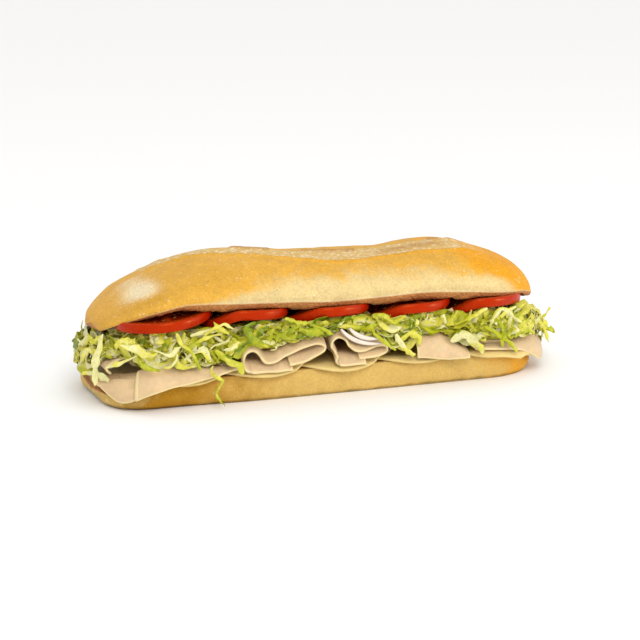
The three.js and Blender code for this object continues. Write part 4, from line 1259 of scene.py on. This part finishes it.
def lay_strands(piles, lettuce):
    """The strands that show plainly on the front and the ends."""
    rng = np.random.default_rng(lettuce.seed + 1)
    for name, width, green, roll, places in STRANDS:
        path = smooth_line(places, 9)
        frill = SHRED_KINDS[name]["frill"]
        grid = shred_grid(rng, path, 0.74 * width, (0, -1, 0.35), roll, rng.normal(0, 0.8), 0.3, frill)
        fade = rng.normal(0, 0.3) * np.linspace(-0.5, 0.5, SHRED_ROWS)[:, None]
        piles[name].add(grid, lettuce.thickness / MM * SHRED_KINDS[name]["thick"], green + fade)


class SANDWICH_OT_lower_half(bpy.types.Operator):
    """Builds the lower half of the roll"""

    bl_idname = "sandwich.lower_half"
    bl_label = "Lower half"

    def execute(self, context):
        roll = context.scene.sandwich_roll
        rings = lower_half_points()
        outer = np.ones(rings.shape[:2])
        outer[:, SIDE_COLUMNS - 6:SIDE_COLUMNS + FACE_COLUMNS + 6] = 0
        flat = (rings[..., 2] < 0.3).astype(float)
        relief = 0.4 * crust_relief(rings, roll) + 0.1 * lumps(rings, 2.5, 6)
        rings = relieve(rings, -relief * outer, flat)
        rings[..., 2] = np.maximum(rings[..., 2], 0)
        crumb = np.zeros(rings.shape[:2])
        crumb[:, SIDE_COLUMNS - 10:SIDE_COLUMNS + FACE_COLUMNS + 10] = 1
        points, faces = loft(rings, (1.2, 0.6))
        add_piece(
            "lower_half", points, faces, lower_crust_finish(roll), ["bread_bottom"],
            {"crumb": with_ends(crumb)})
        return {"FINISHED"}


class SANDWICH_OT_upper_half(bpy.types.Operator):
    """Builds the upper half of the roll with its score"""

    bl_idname = "sandwich.upper_half"
    bl_label = "Upper half"

    def execute(self, context):
        roll = context.scene.sandwich_roll
        rings, masks = upper_half_points(roll)
        points, faces = loft(rings, (0.4, 0.4))
        add_piece(
            "upper_half", points, faces, upper_crust_finish(roll), ["bread_top"],
            {name: with_ends(values) for name, values in masks.items()})
        return {"FINISHED"}


class SANDWICH_OT_cheese(bpy.types.Operator):
    """Lays the round cheese slices on the lower half"""

    bl_idname = "sandwich.cheese"
    bl_label = "Cheese"

    def execute(self, context):
        filling = context.scene.sandwich_filling
        finish = cheese_finish(filling)
        for i in range(5):
            grid = cheese_grid(CHEESE["first_x"] + i * CHEESE["pitch"])
            points, faces, edge = slab(grid, filling.cheese_thickness / MM)
            add_piece(
                f"cheese_slice_{i + 1}", points, faces, finish, [f"cheese_{i + 1}"],
                {"edge": edge})
        return {"FINISHED"}


class SANDWICH_OT_turkey(bpy.types.Operator):
    """Folds and drapes the slices of turkey"""

    bl_idname = "sandwich.turkey"
    bl_label = "Turkey"

    def execute(self, context):
        filling = context.scene.sandwich_filling
        finish = turkey_finish(filling)
        left_slice, crease = corner_slice_grid(LEFT_SLICE)
        grids = {
            "turkey_1": curl_grid(), "turkey_2": left_slice, "turkey_5": broad_slice_grid(),
            "turkey_6": corner_slice_grid(RIGHT_SLICE)[0],
        }
        grids |= {fold["node"]: fold_grid(fold) for fold in FOLDS}
        for node, grid in sorted(grids.items()):
            points, faces, edge = slab(grid, filling.turkey_thickness / MM)
            if node == "turkey_2":
                edge = np.minimum(edge, np.tile(crease.ravel(), 2))
            name = node.replace("turkey", "turkey_slice")
            add_piece(name, points, faces, finish, [node], {"edge": edge})
        return {"FINISHED"}


class SANDWICH_OT_onion(bpy.types.Operator):
    """Leans the arcs of onion on the front of the heap"""

    bl_idname = "sandwich.onion"
    bl_label = "Onion"

    def execute(self, context):
        filling = context.scene.sandwich_filling
        finish = onion_finish(filling)
        for i, arc in enumerate(ONION_ARCS, 1):
            points, faces, edge = slab(onion_grid(arc), filling.onion_thickness / MM)
            add_piece(f"onion_arc_{i}", points, faces, finish, [f"onion_{i}"], {"edge": edge})
        return {"FINISHED"}


class SANDWICH_OT_tomato(bpy.types.Operator):
    """Lays the tomato slices under the upper half"""

    bl_idname = "sandwich.tomato"
    bl_label = "Tomato"

    def execute(self, context):
        finish = tomato_finish(context.scene.sandwich_filling)
        for i, cut in enumerate(TOMATO_SLICES, 1):
            points, faces, masks = tomato_shape(cut, i * 1.7)
            add_piece(f"tomato_slice_{i}", points, faces, finish, [f"tomato_{i}"], masks)
        return {"FINISHED"}


class SANDWICH_OT_lettuce(bpy.types.Operator):
    """Heaps shredded lettuce over a smaller core in painted shade"""

    bl_idname = "sandwich.lettuce"
    bl_label = "Lettuce"

    def execute(self, context):
        lettuce = context.scene.sandwich_lettuce
        finish = lettuce_finish(lettuce)
        piles = {name: ShredPile(kind["crinkle"]) for name, kind in SHRED_KINDS.items()}
        fill_heap(piles, lettuce)
        lay_strands(piles, lettuce)
        for name, pile in piles.items():
            pile.finished(f"lettuce_{name}", finish, ["lettuce"])
        self.add_core(lettuce)
        return {"FINISHED"}

    def add_core(self, lettuce):
        """Body of the heap, well inside its outline, that closes the gaps between shreds with painted
        shade.
        """
        x = stations(HEAP["left"] + 9, HEAP["right"] - 11, 170, 0.3)[:, None]
        share = np.linspace(0, 1, 60)[None, :]
        into = np.clip((np.abs(x) - 92 + 30) / 30, 0, 0.995)
        room = np.sqrt(1 - into ** 2)
        y = between(-32.5, 29.5, share) * room + np.zeros_like(x)
        x = x + np.zeros_like(y)
        low, high = bed_height(x, y) + 0.4, roof_height(x, y) - 0.4
        middle = (low + high) / 2
        closing = np.minimum(share, 1 - share) * 62 * room
        half = (high - low) / 2 * np.sqrt(1 - (1 - np.clip(closing / 5, 0, 1)) ** 2)
        half = np.maximum(half, 0.4) * np.sqrt(np.clip((1 - into) * 8, 0.02, 1))
        upper = np.stack([x, y, middle + half], axis=-1).reshape(-1, 3)
        lower = np.stack([x, y, middle - half], axis=-1).reshape(-1, 3)
        points = np.concatenate([upper, lower])
        points[:, 1] += 1.5 * lumps(points, 6, 51)
        add_piece(
            "lettuce_shade_core", points, slab_faces(*x.shape), core_finish(lettuce), ["lettuce"])


class SANDWICH_OT_stage(bpy.types.Operator):
    """Sets the floor, the soft lights and the camera"""

    bl_idname = "sandwich.stage"
    bl_label = "Stage"

    def execute(self, context):
        stage = context.scene.sandwich_stage
        self.add_floor()
        self.light_world(context.scene, stage.daylight)
        self.add_light("key_light", (-0.2, -0.9, 0.8), 0.6, stage.key)
        self.add_light("fill_light", (0.85, -0.69, 0.2), 0.3, stage.fill)
        self.add_camera(context.scene, stage)
        return {"FINISHED"}

    def add_floor(self):
        """Wide pale disc that the sandwich stands on."""
        radius, corners = 6, 64
        finish = Finish("pale_floor")
        finish.surface(Base_Color=srgb(246, 245, 243), Roughness=0.85, Specular_IOR_Level=0.1)
        mesh = bpy.data.meshes.new("floor")
        turns = np.linspace(0, 2 * math.pi, corners + 1)[:-1]
        ring = [(radius * math.cos(a), radius * math.sin(a), 0) for a in turns]
        mesh.from_pydata(ring, [], [list(range(corners))])
        mesh.materials.append(finish.material)
        floor = bpy.data.objects.new("floor", mesh)
        bpy.context.scene.collection.objects.link(floor)

    def light_world(self, scene, strength):
        """Even white light from all round."""
        world = bpy.data.worlds.new("daylight")
        world.use_nodes = True
        background = world.node_tree.nodes["Background"]
        background.inputs["Color"].default_value = (1, 1, 1, 1)
        background.inputs["Strength"].default_value = strength
        scene.world = world
        scene.view_settings.view_transform = "Standard"

    def add_light(self, name, place, size, power):
        """Round soft light that faces the sandwich's middle."""
        lamp = bpy.data.lights.new(name, "AREA")
        lamp.shape = "DISK"
        lamp.size = size
        lamp.energy = power
        light = bpy.data.objects.new(name, lamp)
        light.location = place
        aim = Vector((0, 0, 0.03)) - light.location
        light.rotation_euler = aim.to_track_quat("-Z", "Y").to_euler()
        bpy.context.scene.collection.objects.link(light)

    def add_camera(self, scene, stage):
        """Camera with a long lens, its picture moved by 8 pixels sideways and 12 down."""
        picture = 640
        lens = bpy.data.cameras.new("camera")
        lens.sensor_width = 36
        lens.lens = 118.125
        lens.shift_x = 8 / picture
        lens.shift_y = -12 / picture
        camera = bpy.data.objects.new("camera", lens)
        back = Vector((
            math.sin(stage.azimuth) * math.cos(stage.elevation),
            -math.cos(stage.azimuth) * math.cos(stage.elevation), math.sin(stage.elevation)))
        target = Vector((SHIFT[0], SHIFT[1], 30)) * MM
        camera.location = target + back * stage.distance
        camera.rotation_euler = (-back).to_track_quat("-Z", "Y").to_euler()
        scene.collection.objects.link(camera)
        scene.camera = camera


OPERATORS = (
    SANDWICH_OT_lower_half, SANDWICH_OT_cheese, SANDWICH_OT_turkey, SANDWICH_OT_lettuce,
    SANDWICH_OT_onion, SANDWICH_OT_tomato, SANDWICH_OT_upper_half, SANDWICH_OT_stage,
)
SETTINGS = {
    "sandwich_roll": RollSettings, "sandwich_filling": FillingSettings,
    "sandwich_lettuce": LettuceSettings, "sandwich_stage": StageSettings,
}


class SANDWICH_PT_panel(bpy.types.Panel):
    """Lists the sandwich's pieces in the order they are laid"""

    bl_label = "Sandwich"
    bl_idname = "SANDWICH_PT_panel"
    bl_space_type = "VIEW_3D"
    bl_region_type = "UI"
    bl_category = "Sandwich"

    def draw(self, context):
        for operator in OPERATORS:
            self.layout.operator(operator.bl_idname)
        for settings in SETTINGS:
            box = self.layout.box()
            group = getattr(context.scene, settings)
            for setting in group.__annotations__:
                box.prop(group, setting)


def register():
    for group in SETTINGS.values():
        bpy.utils.register_class(group)
    for name, group in SETTINGS.items():
        setattr(bpy.types.Scene, name, bpy.props.PointerProperty(type=group))
    for part in (*OPERATORS, SANDWICH_PT_panel):
        bpy.utils.register_class(part)


def unregister():
    for part in (SANDWICH_PT_panel, *reversed(OPERATORS)):
        bpy.utils.unregister_class(part)
    for name, group in SETTINGS.items():
        delattr(bpy.types.Scene, name)
        bpy.utils.unregister_class(group)


def main():
    register()
    bpy.ops.sandwich.lower_half()
    bpy.ops.sandwich.cheese()
    bpy.ops.sandwich.turkey()
    bpy.ops.sandwich.lettuce()
    bpy.ops.sandwich.onion()
    bpy.ops.sandwich.tomato()
    bpy.ops.sandwich.upper_half()
    bpy.ops.sandwich.stage()


if __name__ == "__main__":
    main()
